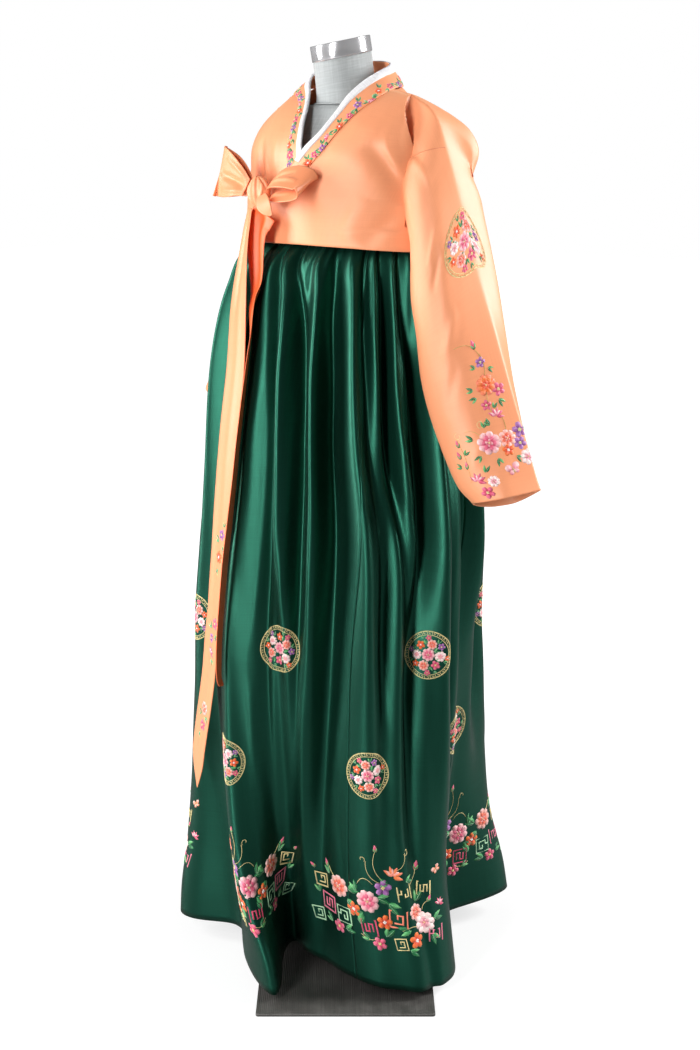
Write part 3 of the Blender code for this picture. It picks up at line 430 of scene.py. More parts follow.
def ripple(across, along, height, spread, phase):
    """Slow unevenness of hanging cloth: a few crossed sines of unlike length, their phases fixed."""
    a, b = across / spread, along / spread
    waves = np.sin(5.1 * a + 1.7 * b + phase) + 0.8 * np.sin(2.3 * a - 4.3 * b + 2.1 * phase)
    waves = waves + 0.6 * np.sin(8.7 * a + 3.9 * b + 0.6 * phase)
    return height * waves / 2.4


# ---- building meshes ---------------------------------------------------------------------------


def quads(rows, columns, closed=False):
    """Quads of a grid of points, and the row and column of each corner; closed columns go round."""
    r, c = np.meshgrid(np.arange(rows - 1), np.arange(columns - 1 + closed), indexing="ij")
    corner_rows = np.stack([r, r, r + 1, r + 1], axis=-1).reshape(-1, 4)
    corner_columns = np.stack([c, c + 1, c + 1, c], axis=-1).reshape(-1, 4)
    return corner_rows * columns + corner_columns % columns, corner_rows, corner_columns


def add_piece(name, points, faces, finish, uv=None, colours=None):
    """A mesh from arrays: points, faces, a UV pair for each face corner and a colour for each point."""
    mesh = bpy.data.meshes.new(name)
    mesh.from_pydata(points.reshape(-1, 3).tolist(), [], faces.tolist())
    mesh.polygons.foreach_set("use_smooth", np.ones(len(mesh.polygons), bool))
    if uv is not None:
        layer = mesh.uv_layers.new(name="cloth")
        layer.data.foreach_set("uv", uv.astype(np.float32).ravel())
    if colours is not None:
        layer = mesh.color_attributes.new("thread", "FLOAT_COLOR", "POINT")
        layer.data.foreach_set("color", np.column_stack([colours, np.ones(len(colours))]).ravel())
    mesh.materials.append(finish)
    made = bpy.data.objects.new(name, mesh)
    bpy.context.scene.collection.objects.link(made)
    return made


def give_wall(made, thick):
    """Cloth's own thickness, grown inward from the outer face."""
    modifier = made.modifiers.new("wall", "SOLIDIFY")
    modifier.thickness = thick
    modifier.offset = -1


def facing(points, faces, out):
    """True where the faces of a grid look the way that out does, on the whole."""
    corners = points.reshape(-1, 3)[faces]
    looks = np.cross(corners[:, 2] - corners[:, 0], corners[:, 3] - corners[:, 1])
    aim = np.broadcast_to(out, points.shape).reshape(-1, 3)[faces[:, 0]]
    return (looks * aim).sum() > 0


def paths(grid, axis, closed=False):
    """Distances along the rows or columns of a grid of points, from its first point."""
    if closed:
        grid = np.concatenate([grid, grid[:, :1]], axis=1)
    steps = np.linalg.norm(np.diff(grid, axis=axis), axis=-1)
    start = np.zeros_like(np.take(steps, [0], axis=axis))
    return np.concatenate([start, np.cumsum(steps, axis=axis)], axis=axis)


def cloth(name, grid, out, finish, thick, closed=False, stands_for=()):
    """A piece of cloth on a grid of points: a thin wall, mapped in metres along its thread."""
    rows, columns = grid.shape[:2]
    faces, corner_rows, corner_columns = quads(rows, columns, closed)
    round_it, down_it = paths(grid, 1, closed), paths(grid, 0)
    widest = round_it[:, -1].argmax()
    longest = down_it[-1].argmax()
    u, v = round_it[widest], down_it[:, longest]
    uv = np.stack([u[corner_columns], v[corner_rows]], axis=-1)
    if not facing(grid, faces, out):
        faces, uv = faces[:, ::-1], uv[:, ::-1]
    made = add_piece(name, grid, faces, finish, uv=uv)
    give_wall(made, thick)
    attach(made, "root")
    if stands_for:
        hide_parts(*stands_for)
    return made


def solid(name, rings, finish, stands_for=(), caps=True):
    """A closed solid through rings of points, with a fan of faces over each end."""
    rows, columns = rings.shape[:2]
    faces = quads(rows, columns, closed=True)[0]
    if not facing(rings, faces, rings - rings.mean(axis=(0, 1))):
        faces = faces[:, ::-1]
    u, v = paths(rings, 1, True), paths(rings, 0)
    corner_rows, corner_columns = quads(rows, columns, closed=True)[1:]
    uv = np.stack([u[u[:, -1].argmax()][corner_columns], v[:, 0][corner_rows]], axis=-1)
    made = add_piece(name, rings, faces, finish, uv=uv)
    if caps:
        shape = bmesh.new()
        shape.from_mesh(made.data)
        shape.verts.ensure_lookup_table()
        for start in (0, (rows - 1) * columns):
            shape.faces.new([shape.verts[start + i] for i in range(columns)]).smooth = False
        bmesh.ops.recalc_face_normals(shape, faces=shape.faces)
        shape.to_mesh(made.data)
        shape.free()
    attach(made, "root")
    if stands_for:
        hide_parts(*stands_for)
    return made


# ---- finishes ----------------------------------------------------------------------------------


def srgb(red, green, blue):
    """A colour given as it looks on a screen, from 0 to 255, as linear light."""
    share = np.array([red, green, blue]) / 255
    return tuple(np.where(share <= 0.04045, share / 12.92, ((share + 0.055) / 1.055) ** 2.4))


def new_finish(name, colour, **sockets):
    """A material with its Principled shader's sockets set; returns it, its node tree and the shader."""
    made = bpy.data.materials.new(name)
    made.use_nodes = True
    shader = made.node_tree.nodes["Principled BSDF"]
    shader.inputs["Base Color"].default_value = (*colour, 1)
    for socket, value in sockets.items():
        shader.inputs[socket.replace("_", " ").title().replace("Ior", "IOR")].default_value = value
    return made, made.node_tree, shader


def add_node(tree, kind, links=(), values=(), **settings):
    """A shader node with its settings, its socket values, and links from other nodes' sockets."""
    node = tree.nodes.new("ShaderNode" + kind)
    for key, value in settings.items():
        setattr(node, key, value)
    for socket, value in dict(values).items():
        node.inputs[socket].default_value = value
    for socket, source in dict(links).items():
        tree.links.new(source, node.inputs[socket])
    return node


def scaled(tree, source, scale, turn=0.0):
    """Coordinates stretched by scale, after a turn about Z."""
    turned = add_node(tree, "Mapping", {"Vector": source}, {"Rotation": (0, 0, turn)})
    return add_node(tree, "Mapping", {"Vector": turned.outputs[0]}, {"Scale": scale}).outputs[0]


def noise(tree, where, scale=1.0, detail=2.0):
    return add_node(tree, "TexNoise", {"Vector": where}, {"Scale": scale, "Detail": detail}).outputs[0]


def between(tree, share, low, high):
    """A share from 0 to 1 carried to the range from low to high."""
    return add_node(
        tree, "MapRange", {"Value": share}, {"From Min": 0.3, "From Max": 0.7, "To Min": low, "To Max": high}
    ).outputs[0]


def shade(tree, colour, share):
    """One colour made lighter or darker by a share that varies over the surface."""
    mix = add_node(
        tree, "Mix", {"Factor": share}, data_type="RGBA", blend_type="MIX"
    )
    mix.inputs[6].default_value = (*(np.array(colour) * 0.80), 1)
    mix.inputs[7].default_value = (*np.minimum(np.array(colour) * 1.18, 1), 1)
    return mix.outputs[2]


def raise_bumps(tree, shader, height, strength, distance):
    bump = add_node(tree, "Bump", {"Height": height}, {"Strength": strength, "Distance": distance})
    tree.links.new(bump.outputs[0], shader.inputs["Normal"])


def satin(name, colour, slub=1.0, **sockets):
    """Satin: a close diagonal weave, uneven thicker threads across it, and a gloss that drifts a little."""
    made, tree, shader = new_finish(name, colour, **sockets)
    thread = add_node(tree, "UVMap", uv_map="cloth").outputs[0]
    slubs = noise(tree, scaled(tree, thread, (9, 700, 1)), detail=3)
    warp = noise(tree, scaled(tree, thread, (900, 14, 1)), detail=2)
    twill = add_node(
        tree, "TexWave", {"Vector": scaled(tree, thread, (1, 1, 1), math.radians(63))},
        {"Scale": 260, "Distortion": 0.4, "Detail": 1.0}, wave_type="BANDS"
    ).outputs[1]
    threads = add_node(tree, "Math", {0: slubs, 1: warp}, operation="ADD").outputs[0]
    half = add_node(tree, "Math", {0: threads}, {1: 0.5}, operation="MULTIPLY").outputs[0]
    tree.links.new(shade(tree, colour, between(tree, half, 0.5 - 0.35 * slub, 0.5 + 0.35 * slub)),
                   shader.inputs["Base Color"])
    rough = shader.inputs["Roughness"].default_value
    drift = noise(tree, scaled(tree, thread, (7, 3, 1)), detail=2)
    tree.links.new(between(tree, drift, rough - 0.04, rough + 0.05), shader.inputs["Roughness"])
    woven = add_node(tree, "Math", {0: half, 1: twill}, operation="ADD").outputs[0]
    raise_bumps(tree, shader, woven, 0.35, 0.00025 * slub)
    return made


def plain_weave(name, colour, pitch, **sockets):
    """Linen or cotton: square crossed threads, some thicker, with the light caught between them."""
    made, tree, shader = new_finish(name, colour, **sockets)
    thread = add_node(tree, "UVMap", uv_map="cloth").outputs[0]
    sets = []
    for scale, turn in (((1, 1, 1), 0.0), ((1, 1, 1), math.radians(90))):
        where = scaled(tree, thread, scale, turn)
        sets.append(add_node(
            tree, "TexWave", {"Vector": where}, {"Scale": 0.32 / pitch, "Distortion": 1.2, "Detail": 2.0},
            wave_type="BANDS"
        ).outputs[1])
    crossed = add_node(tree, "Math", {0: sets[0], 1: sets[1]}, operation="ADD").outputs[0]
    slubs = noise(tree, scaled(tree, thread, (20, 420, 1)), detail=3)
    upright = noise(tree, scaled(tree, thread, (420, 20, 1)), detail=3)
    uneven = add_node(tree, "Math", {0: slubs, 1: upright}, operation="ADD").outputs[0]
    half = add_node(tree, "Math", {0: uneven}, {1: 0.5}, operation="MULTIPLY").outputs[0]
    tree.links.new(shade(tree, colour, between(tree, half, 0.0, 1.0)), shader.inputs["Base Color"])
    raise_bumps(tree, shader, add_node(tree, "Math", {0: crossed, 1: half}, operation="ADD").outputs[0],
                0.5, 0.0004)
    return made


def chrome(name):
    """Polished plate over a turned ring: very fine lines round it, faint smears in its gloss."""
    made, tree, shader = new_finish(name, srgb(226, 226, 228), roughness=0.16, metallic=0.72)
    place = add_node(tree, "TexCoord").outputs["Object"]
    lines = noise(tree, scaled(tree, place, (6, 6, 1500)), detail=2)
    smears = noise(tree, scaled(tree, place, (30, 30, 60)), detail=4)
    tree.links.new(between(tree, smears, 0.10, 0.22), shader.inputs["Roughness"])
    raise_bumps(tree, shader, lines, 0.12, 0.0001)
    return made


def ribbed_steel(name):
    """The base plate: fine ribs that run from front to back, scuffed between, with dull streaks."""
    made, tree, shader = new_finish(name, srgb(70, 67, 65), roughness=0.5, metallic=0.35)
    place = add_node(tree, "TexCoord").outputs["Object"]
    ribs = add_node(
        tree, "TexWave", {"Vector": scaled(tree, place, (1, 1, 1), -PLATE_TURN)},
        {"Scale": 0.32 / 0.0032, "Distortion": 0.3}, wave_type="BANDS", bands_direction="X"
    ).outputs[1]
    streaks = noise(tree, scaled(tree, place, (260, 9, 40), -PLATE_TURN), detail=4)
    scuffs = noise(tree, scaled(tree, place, (35, 35, 35)), detail=6)
    worn = add_node(tree, "Math", {0: streaks, 1: scuffs}, operation="MULTIPLY").outputs[0]
    share = add_node(tree, "MapRange", {"Value": worn}, {"From Min": 0.12, "From Max": 0.42}).outputs[0]
    tree.links.new(shade(tree, srgb(84, 82, 79), share), shader.inputs["Base Color"])
    tree.links.new(between(tree, scuffs, 0.42, 0.62), shader.inputs["Roughness"])
    raise_bumps(tree, shader, add_node(tree, "Math", {0: ribs, 1: streaks}, operation="ADD").outputs[0],
                0.6, 0.0006)
    return made


def brushed_steel(name):
    made, tree, shader = new_finish(name, srgb(176, 176, 176), roughness=0.32, metallic=1.0)
    place = add_node(tree, "TexCoord").outputs["Object"]
    raise_bumps(tree, shader, noise(tree, scaled(tree, place, (400, 400, 12)), detail=2), 0.2, 0.0002)
    return made


def embroidery_thread(name):
    """Shiny thread in each stitch's own colour, laid in close rows across the petal or leaf."""
    made, tree, shader = new_finish(name, srgb(230, 180, 190), roughness=0.42, sheen_weight=0.25,
                                    sheen_roughness=0.4)
    colour = add_node(tree, "Attribute", attribute_name="thread").outputs[0]
    laid = scaled(tree, add_node(tree, "UVMap", uv_map="cloth").outputs[0], (1, 1, 1))
    rows = add_node(
        tree, "TexWave", {"Vector": laid}, {"Scale": 0.32 / 0.0006, "Distortion": 0.6, "Detail": 1.0},
        wave_type="BANDS", bands_direction="Y"
    ).outputs[1]
    tree.links.new(colour, shader.inputs["Base Color"])
    raise_bumps(tree, shader, rows, 0.5, 0.0002)
    return made


def make_finishes():
    return {
        "skirt": satin("skirt_satin", srgb(25, 79, 63), roughness=0.35, metallic=0.86,
                       sheen_weight=0.05, sheen_roughness=0.35, sheen_tint=(*srgb(150, 110, 110), 1)),
        "jacket": satin("jacket_satin", srgb(252, 158, 113), slub=0.5, roughness=0.44,
                        sheen_weight=0.25, sheen_roughness=0.4, sheen_tint=(*srgb(255, 236, 190), 1)),
        "tie": satin("tie_satin", srgb(252, 150, 104), slub=0.5, roughness=0.42,
                     sheen_weight=0.30, sheen_roughness=0.4, sheen_tint=(*srgb(255, 240, 196), 1)),
        # A darker, redder copy of the tie satin for the short tail: painted shade, not a second dye.
        "tie_painted_shade": satin("tie_painted_shade_satin", srgb(250, 110, 58), slub=0.5, roughness=0.46,
                           sheen_weight=0.20, sheen_roughness=0.4, sheen_tint=(*srgb(255, 190, 130), 1)),
        "strip": plain_weave("strip_cotton", srgb(244, 240, 246), 0.0006, roughness=0.7),
        "band": plain_weave("band_cotton", srgb(20, 76, 56), 0.0006, roughness=0.8),
        "linen": plain_weave("form_linen", srgb(168, 172, 172), 0.0011, roughness=0.75,
                             sheen_weight=0.15),
        "chrome": chrome("cap_chrome"),
        "plate": ribbed_steel("plate_steel"),
        "pole": brushed_steel("pole_steel"),
        "thread": embroidery_thread("embroidery_thread"),
    }


# ---- dress form and stand ----------------------------------------------------------------------

RIM = 0.0015  # rounded edge of the cap and the plate


def circle(sides):
    turn = np.arange(sides) * math.tau / sides
    return np.stack([np.cos(turn), np.sin(turn), 0 * turn], axis=1)


def make_plate(finish):
    """A flat plate with rounded corners in plan: arcs at its four corners, carried up and softened."""
    ahead = np.array([math.sin(PLATE_TURN), -math.cos(PLATE_TURN), 0])
    right = np.array([math.cos(PLATE_TURN), math.sin(PLATE_TURN), 0])
    radius, arc = 0.004, np.radians(np.linspace(0, 90, 5))
    corners = ((1, -PLATE_REAR, 0), (1, PLATE_FRONT, 90), (-1, PLATE_FRONT, 180), (-1, -PLATE_REAR, 270))
    outline = []
    for side, reach, start in corners:
        toward = 1 if reach > 0 else -1
        angle = arc + math.radians(start - 90)
        centre = right * side * (PLATE_WIDTH / 2 - radius) + ahead * (reach - toward * radius)
        outline.append(centre + radius * (np.outer(np.cos(angle), right) + np.outer(np.sin(angle), ahead)))
    outline = np.concatenate(outline)
    middle = outline.mean(axis=0)
    rings = []
    for z, inset in ((0, RIM), (0.0003, 0.0006), (RIM, 0), (PLATE_THICK - RIM, 0),
                     (PLATE_THICK - 0.0003, 0.0006), (PLATE_THICK, RIM)):
        inward = unit(middle - outline) * inset
        rings.append(outline + inward + (0, 0, z))
    made = solid("base_plate_finished", np.array(rings), finish["plate"],
                 ("base_plate",))
    return made


def make_form(finish):
    """The torso through oval sections, the leaning neck, and the cap on it with its rounded rims."""
    heights = np.concatenate([FORM["z"][:2], np.linspace(FORM["z"][2], FORM["z"][-1], 60)])
    degrees = np.arange(96) * 3.75
    rings = []
    for z in heights:
        x, y = oval(degrees, *(smooth(z, FORM["z"], FORM[k]) for k in ("half_width", "front", "back")), 0.95)
        rings.append(np.stack([x, y, np.full_like(x, z)], axis=1))
    solid("form_torso_linen", np.array(rings), finish["linen"], ("form_torso",))

    around_it = circle(96)
    heading = np.array([math.cos(NECK_HEADING), math.sin(NECK_HEADING), 0])
    drop = around_it @ heading

    def ring(z, radius, along, lean):
        points = around_it * radius + heading * along
        points[:, 2] = z - drop * radius * math.tan(lean)
        return points

    lowest = FORM["z"][-1] + GAP
    z = np.linspace(NECK["z"][0], NECK["z"][-1], 14)
    upper = [ring(h, smooth(h, NECK["z"], NECK["radius"]), smooth(h, NECK["z"], NECK["along"]), NECK_LEAN)
             for h in z]
    upper[0][:, 2] = np.maximum(upper[0][:, 2], lowest + 0.002)
    rings = np.array([ring(lowest, NECK["radius"][0], 0, 0)] + upper)
    solid("form_neck_linen", rings, finish["linen"], ("form_neck",))

    top = NECK["z"][-1] + GAP / math.cos(NECK_LEAN)
    rise = CAP_THICK / math.cos(NECK_LEAN)
    along = NECK["along"][-1]
    profile = [(0, RIM), (0.0004, 0.0005), (RIM, 0), (rise - RIM, 0), (rise - 0.0004, 0.0005), (rise, RIM)]
    cap = [ring(top + up, CAP_RADIUS - inset, along + 0.004 * up / rise, NECK_LEAN) for up, inset in profile]
    solid("neck_cap_chrome", np.array(cap), finish["chrome"], ("neck_cap",))
    for name, key in (("pole", "pole"), ("pole_socket", "plate")):
        node = frame["nodes"][name]
        node.data.materials.clear()
        node.data.materials.append(finish[key])
        node.data.polygons.foreach_set("use_smooth", np.ones(len(node.data.polygons), bool))


# ---- skirt -------------------------------------------------------------------------------------

TUCKS = 66  # small gathers close under the waist
TUCK_DEPTH = 0.0058
TUCK_LENGTH = 0.055  # how far down they fade, as a share of the skirt
FOLD_RISE = table("level share", [(0, 0.20), (0.033, 0.42), (0.050, 0.75), (0.085, 1.0), (1.0, 1.0)])
FOLD_HEIGHTS = (1.236, 1.140, 1.040, 0.940, 0.800, 0.600, 0.340)
# Folds that run down from the waist: the angle of each at the seven heights above, its half width in
# degrees, how far it stands out or in, and the share of that left at 0.8 m and at 0.34 m.
FRONT_FOLDS = (
    (-112, -111, -110, -110, -109, -108, -107, 3.6, -0.010, 0.60, 0.40),
    (-98.5, -95, -93, -93.5, -94, -95, -97, 4.2, 0.011, 0.80, 0.70),
    (-96, -89.5, -84.5, -82.5, -82.5, -82, -82, 2.2, -0.011, 0.80, 0.60),
    (-90, -82, -79, -77.5, -76.5, -70, -68, 3.2, 0.012, 0.85, 0.60),
    (-85, -75.5, -71, -69.5, -69.5, -67, -68, 2.6, -0.015, 0.85, 0.65),
    (-71, -67, -65.5, -64, -63.5, -63, -64, 2.8, 0.011, 0.70, 0.50),
    (-61.5, -60.5, -57.5, -56.5, -54, -52, -55, 3.4, -0.016, 0.95, 0.70),
    (-54, -51, -49, -47, -43.5, -39, -36, 3.6, 0.016, 0.95, 0.70),
    (-46, -44.8, -42.5, -41, -37, -33, -30, 1.8, -0.009, 0.45, 0.20),
    (-42, -40.5, -37.5, -35.5, -31, -27, -25, 2.0, 0.006, 0.30, 0.10),
    (-37.5, -34.8, -33.5, -32, -27, -22, -20, 1.9, -0.012, 0.50, 0.30),
    (-32, -31, -30, -27, -22, -17, -14, 2.2, 0.008, 0.40, 0.20),
    (-26, -25, -19, -17, -17, -19, -22, 2.6, -0.013, 0.75, 0.45),
    (-18, -16, -13, -12, -12, -8.5, -2, 3.6, 0.012, 1.00, 0.80),
    (-9, -7, -6, -4, -2, 4, 10, 2.6, -0.010, 1.00, 0.80),
    (2, 3, 5, 7, 8, 12, 16, 3.4, 0.009, 0.60, 0.40),
    (12, 12, 12, 13, 13, 18, 24, 3.0, -0.011, 0.70, 0.40),
    (20, 19, 19, 19, 20, 28, 36, 3.6, 0.011, 0.75, 0.55),
    (31, 31, 31, 31, 33, 38, 44, 3.4, -0.011, 0.60, 0.40),
)
FOLD_SPREAD = 0.5  # how much wider a fold has grown at 0.34 m
CREASE_RADIUS = 0.235

# Creases: from one angle and height to another, half width, depth and bow.
SKIRT_CREASES = [
    (-44, 1.06, -41, 0.80, 0.009, 0.0020, 0.004),
    (-41, 0.86, -37, 0.60, 0.011, 0.0030, 0.003),
    (-38, 0.66, -27, 0.38, 0.011, 0.0036, -0.006),
    (-36, 0.95, -25, 0.74, 0.010, -0.0026, 0.004),
    (-33, 0.90, -21, 0.77, 0.008, 0.0020, -0.004),
    (-29, 0.87, -17, 0.80, 0.008, -0.0022, 0.003),
    (-27, 0.97, -22, 0.84, 0.009, 0.0022, 0.002),
    (-16, 0.92, -12, 0.70, 0.010, 0.0030, 0.003),
    (-62, 0.90, -60, 0.50, 0.007, 0.0028, 0.002),
    (-66, 0.70, -64, 0.20, 0.006, 0.0026, 0.001),
    (-72, 1.05, -74, 0.62, 0.007, 0.0032, -0.003),
    (-84, 1.00, -87, 0.60, 0.008, 0.0030, 0.003),
    (-88, 0.55, -84, 0.25, 0.008, 0.0034, -0.003),
    (-99, 0.80, -97, 0.42, 0.008, 0.0030, 0.002),
    (-50, 0.40, -46, 0.16, 0.008, -0.0030, 0.002),
    (-20, 0.52, -17, 0.22, 0.009, 0.0028, 0.002),
    (-30, 0.30, -14, 0.16, 0.008, 0.0022, 0.004),
    (4, 0.95, 9, 0.52, 0.008, 0.0034, -0.003),
    (18, 0.90, 26, 0.58, 0.009, 0.0038, 0.004),
    (30, 1.02, 33, 0.66, 0.007, -0.0034, 0.002),
    (42, 0.74, 49, 0.36, 0.010, 0.0040, -0.004),
    (60, 0.98, 57, 0.60, 0.008, 0.0036, 0.003),
    (76, 0.80, 84, 0.42, 0.009, -0.0036, 0.004),
    (95, 1.00, 97, 0.58, 0.008, 0.0040, -0.002),
    (108, 0.66, 103, 0.30, 0.009, 0.0034, 0.003),
    (124, 0.95, 131, 0.56, 0.009, 0.0038, -0.004),
    (142, 0.72, 139, 0.34, 0.008, -0.0032, 0.003),
    (158, 1.00, 163, 0.62, 0.009, 0.0036, 0.002),
    (172, 0.62, 178, 0.28, 0.010, 0.0034, -0.003),
    (188, 0.96, 192, 0.56, 0.008, 0.0038, 0.003),
    (206, 0.80, 201, 0.44, 0.009, -0.0036, -0.003),
    (220, 0.98, 224, 0.60, 0.008, 0.0036, 0.002),
    (230, 0.66, 228, 0.34, 0.009, 0.0032, 0.003),
]


def hidden_folds():
    """The same for the rest of the way round, a ridge and a valley in turn, unevenly spaced."""
    chance = np.random.default_rng(11)
    places = np.linspace(42, 240, 34) + chance.uniform(-1.6, 1.6, 34)
    rows = []
    for i, place in enumerate(places):
        drift = np.linspace(0, 1, len(FOLD_HEIGHTS)) * chance.uniform(-7, 7)
        way = 1 if i % 2 else -1
        depth = way * chance.uniform(0.008, 0.014)
        rows.append((*(place + drift), chance.uniform(2.4, 3.8), depth, chance.uniform(0.4, 0.7),
                     chance.uniform(0.15, 0.45)))
    return rows


SKIRT_FOLDS = [*FRONT_FOLDS, *hidden_folds()]


def gather_folds(degrees, level, z):
    """Folds below the waist: each is a bell curve about its own path, depth * exp(-(away / width)^2),
    flattened by its share lower down. Small tucks between them are (1 + cos(pace)) / 2, and fade sooner."""
    rise = smooth(level, FOLD_RISE["level"], FOLD_RISE["share"])
    total = np.zeros(np.broadcast(degrees, z).shape)
    for *path, half_width, depth, middle_share, low_share in SKIRT_FOLDS:
        centre = smooth(z, FOLD_HEIGHTS, path)
        away = (degrees - centre + 180) % 360 - 180
        left = np.interp(z, (0.08, 0.34, 0.80, 1.10), (low_share / 2, low_share, middle_share, 1.0))
        wide = half_width * (1 + FOLD_SPREAD * np.clip((1.10 - z) / 0.76, 0, 1))
        total += depth * left * np.exp(-((away / wide) ** 2))
    angle = np.radians(degrees)
    pace = TUCKS * angle + 1.1 * np.sin(5 * angle + 0.6) + 0.8 * np.sin(11 * angle)
    tucks = TUCK_DEPTH * (1 + np.cos(pace)) / 2 * np.exp(-((level / TUCK_LENGTH) ** 2))
    return rise * total + tucks * np.clip(rise, 0, 0.6) / 0.6


def long_wave(degrees):
    total = np.zeros_like(degrees, dtype=float)
    for angle, depth, half_width in zip(WAVES["angle"], WAVES["depth"], WAVES["half_width"]):
        away = (degrees - angle + 180) % 360 - 180
        total += depth * np.exp(-((away / half_width) ** 2))
    return total


def skirt_points(degrees, level):
    """The skirt's outer face: degrees round it, and level from 0 at the top to 1 at the hem.

    The reach is the oval outline, and to it are added the hem folds, the long waves, the gathers,
    the listed creases and a slow ripple. The hem folds also carry the cloth round.
    """
    top = SKIRT["z"][0]
    hem = around(degrees, HEM_FOLDS["angle"], HEM_FOLDS["height"])
    z = top + (hem - top) * level
    flat_z = top + (SKIRT["z"][-1] - top) * level
    row = {k: smooth(flat_z, SKIRT["z"], SKIRT[k]) for k in SKIRT}
    x, y = oval(degrees, row["half_width"], row["front"], row["back"])
    fold = around(degrees, HEM_FOLDS["angle"], HEM_FOLDS["reach"]) - SKIRT["half_width"][-1]
    across = np.radians((degrees + 120) % 360 - 120) * CREASE_RADIUS
    rows = [
        (math.radians(a0) * CREASE_RADIUS, z0, math.radians(a1) * CREASE_RADIUS, z1, w, d, bow)
        for a0, z0, a1, z1, w, d, bow in SKIRT_CREASES
    ]
    turned = np.radians(degrees)
    reach_out = (
        np.hypot(x, y)
        + row["hem_share"] * fold
        + row["wave_share"] * long_wave(degrees)
        + gather_folds(degrees, level, z)
        + creases(across, z, rows)
        + row["wave_share"] * ripple(0.2 * np.cos(turned) + 0.11 * np.sin(3 * turned), z, 0.0011, 0.12, 1.3)
    )
    turn = row["hem_share"] ** 2 * around(degrees, HEM_FOLDS["angle"], HEM_FOLDS["turn"])
    heading = np.arctan2(y, x) + np.radians(turn)
    x = row["shift"] * SWAY[0] + reach_out * np.cos(heading)
    y = row["shift"] * SWAY[1] + reach_out * np.sin(heading)
    return np.stack([x, y, z], axis=-1)


SKIRT_STEPS = 126  # rows of points down a width of the skirt
SKIRT_FINENESS = 0.56  # degrees between columns of points


def skirt_levels():
    return np.linspace(0, 1, SKIRT_STEPS) ** 1.15


def skirt_degrees(first, last):
    return np.linspace(first, last, round((last - first) / SKIRT_FINENESS))


def make_skirt(finish):
    for name, first, last in SKIRT_PIECES:
        grid = skirt_points(*np.meshgrid(skirt_degrees(first, last), skirt_levels()))
        out = grid * (1, 1, 0)
        cloth(name + "_cloth", grid, out, finish["skirt"], SKIRT_WALL,
              stands_for=(name,))


def make_band(finish):
    """The skirt's waist band, hidden by the jacket: an upright oval strip."""
    degrees = np.arange(72) * 5.0
    rows = []
    for z in np.linspace(BAND["z"][0], BAND["z"][1], 6):
        x, y = oval(degrees, *(smooth(z, BAND["z"], BAND[k]) for k in ("half_width", "front", "back")))
        rows.append(np.stack([x, y, np.full_like(x, z)], axis=1))
    grid = np.array(rows)
    cloth("skirt_band_cloth", grid, grid * (1, 1, 0), finish["band"], SKIRT_WALL,
          closed=True, stands_for=("skirt_band",))


# ---- jacket ------------------------------------------------------------------------------------

FINER = 5  # rows and columns of points to each of a coarse panel's
SEAM_TUCK = 0.006  # how far a front reaches in under the collar
COLLAR_RISE = 0.0016  # the collar's inner face, over the front

# Creases on the fronts and the back: from one x and z to another, half width, depth, bow.
FRONT_LEFT_CREASES = [
    (0.118, 1.415, 0.168, 1.322, 0.011, -0.0085, 0.006),
    (0.140, 1.430, 0.160, 1.360, 0.007, 0.0035, 0.003),
    (0.120, 1.260, 0.164, 1.318, 0.012, -0.0060, -0.004),
    (0.096, 1.262, 0.128, 1.330, 0.014, 0.0040, 0.004),
    (0.152, 1.470, 0.160, 1.385, 0.007, -0.0040, -0.003),
    (0.020, 1.352, -0.020, 1.318, 0.009, -0.0022, 0.002),
    (0.060, 1.400, 0.132, 1.368, 0.016, 0.0022, 0.004),
    (0.030, 1.330, 0.110, 1.300, 0.018, 0.0020, -0.006),
    (0.080, 1.450, 0.130, 1.440, 0.012, 0.0020, -0.003),
]
FRONT_RIGHT_CREASES = [
    (-0.105, 1.420, -0.080, 1.345, 0.009, -0.0050, 0.004),
    (-0.090, 1.400, -0.064, 1.340, 0.006, 0.0030, 0.002),
    (-0.140, 1.400, -0.160, 1.320, 0.010, -0.0040, -0.004),
    (-0.060, 1.440, -0.050, 1.370, 0.010, 0.0022, 0.003),
]
BACK_CREASES = [
    (-0.150, 1.440, -0.120, 1.330, 0.010, -0.0050, 0.005),
    (0.152, 1.440, 0.118, 1.322, 0.011, -0.0055, -0.005),
    (-0.040, 1.480, -0.060, 1.300, 0.014, 0.0024, 0.004),
    (0.050, 1.470, 0.044, 1.290, 0.015, 0.0022, -0.004),
    (-0.110, 1.280, -0.160, 1.330, 0.010, -0.0040, 0.003),
    (0.100, 1.270, 0.160, 1.336, 0.010, -0.0042, -0.003),
]


def finer(values, times=FINER):
    """Each step between values cut into equal parts."""
    places = np.arange(len(values))
    return np.interp(np.linspace(0, places[-1], places[-1] * times + 1), places, values)


def shoulder_height(x):
    drop = np.where(np.asarray(x) < 0, *SHOULDER_DROP)
    return SHOULDER_Z - drop * np.maximum(np.abs(x) - NECK_POINT, 0)


def jacket_depth(x, z, front, lift=0.0):
    """How far the jacket's body stands from the middle plane at x and z, with its rounded shoulder."""
    half_width = smooth(z, JACKET["z"], JACKET["half_width"])
    depth = smooth(z, JACKET["z"], JACKET["front" if front else "back"]) + lift
    depth = depth * np.maximum(1 - (x / half_width) ** 2, 0) ** PLAN_POWER
    start = FRONT_ROUNDS_FROM if front else BACK_ROUNDS_FROM
    neck_rise = 0.0 if front else BACK_NECK_RISE
    top = shoulder_height(x) + neck_rise * np.clip(1 - np.abs(x) / NECK_END, 0, 1) ** 0.7
    share = np.clip((z - start) / (top - start), 0, 1)
    return depth * np.maximum(1 - share**SHOULDER_POWERS[0], 0) ** SHOULDER_POWERS[1]


def armhole_x(z):
    """The armhole seam's distance from the middle: straight up, then leaning in to the shoulder."""
    return ARMHOLE_X - ARMHOLE_LEAN * np.clip((z - 1.400) / 0.091, 0, 1) ** 1.6


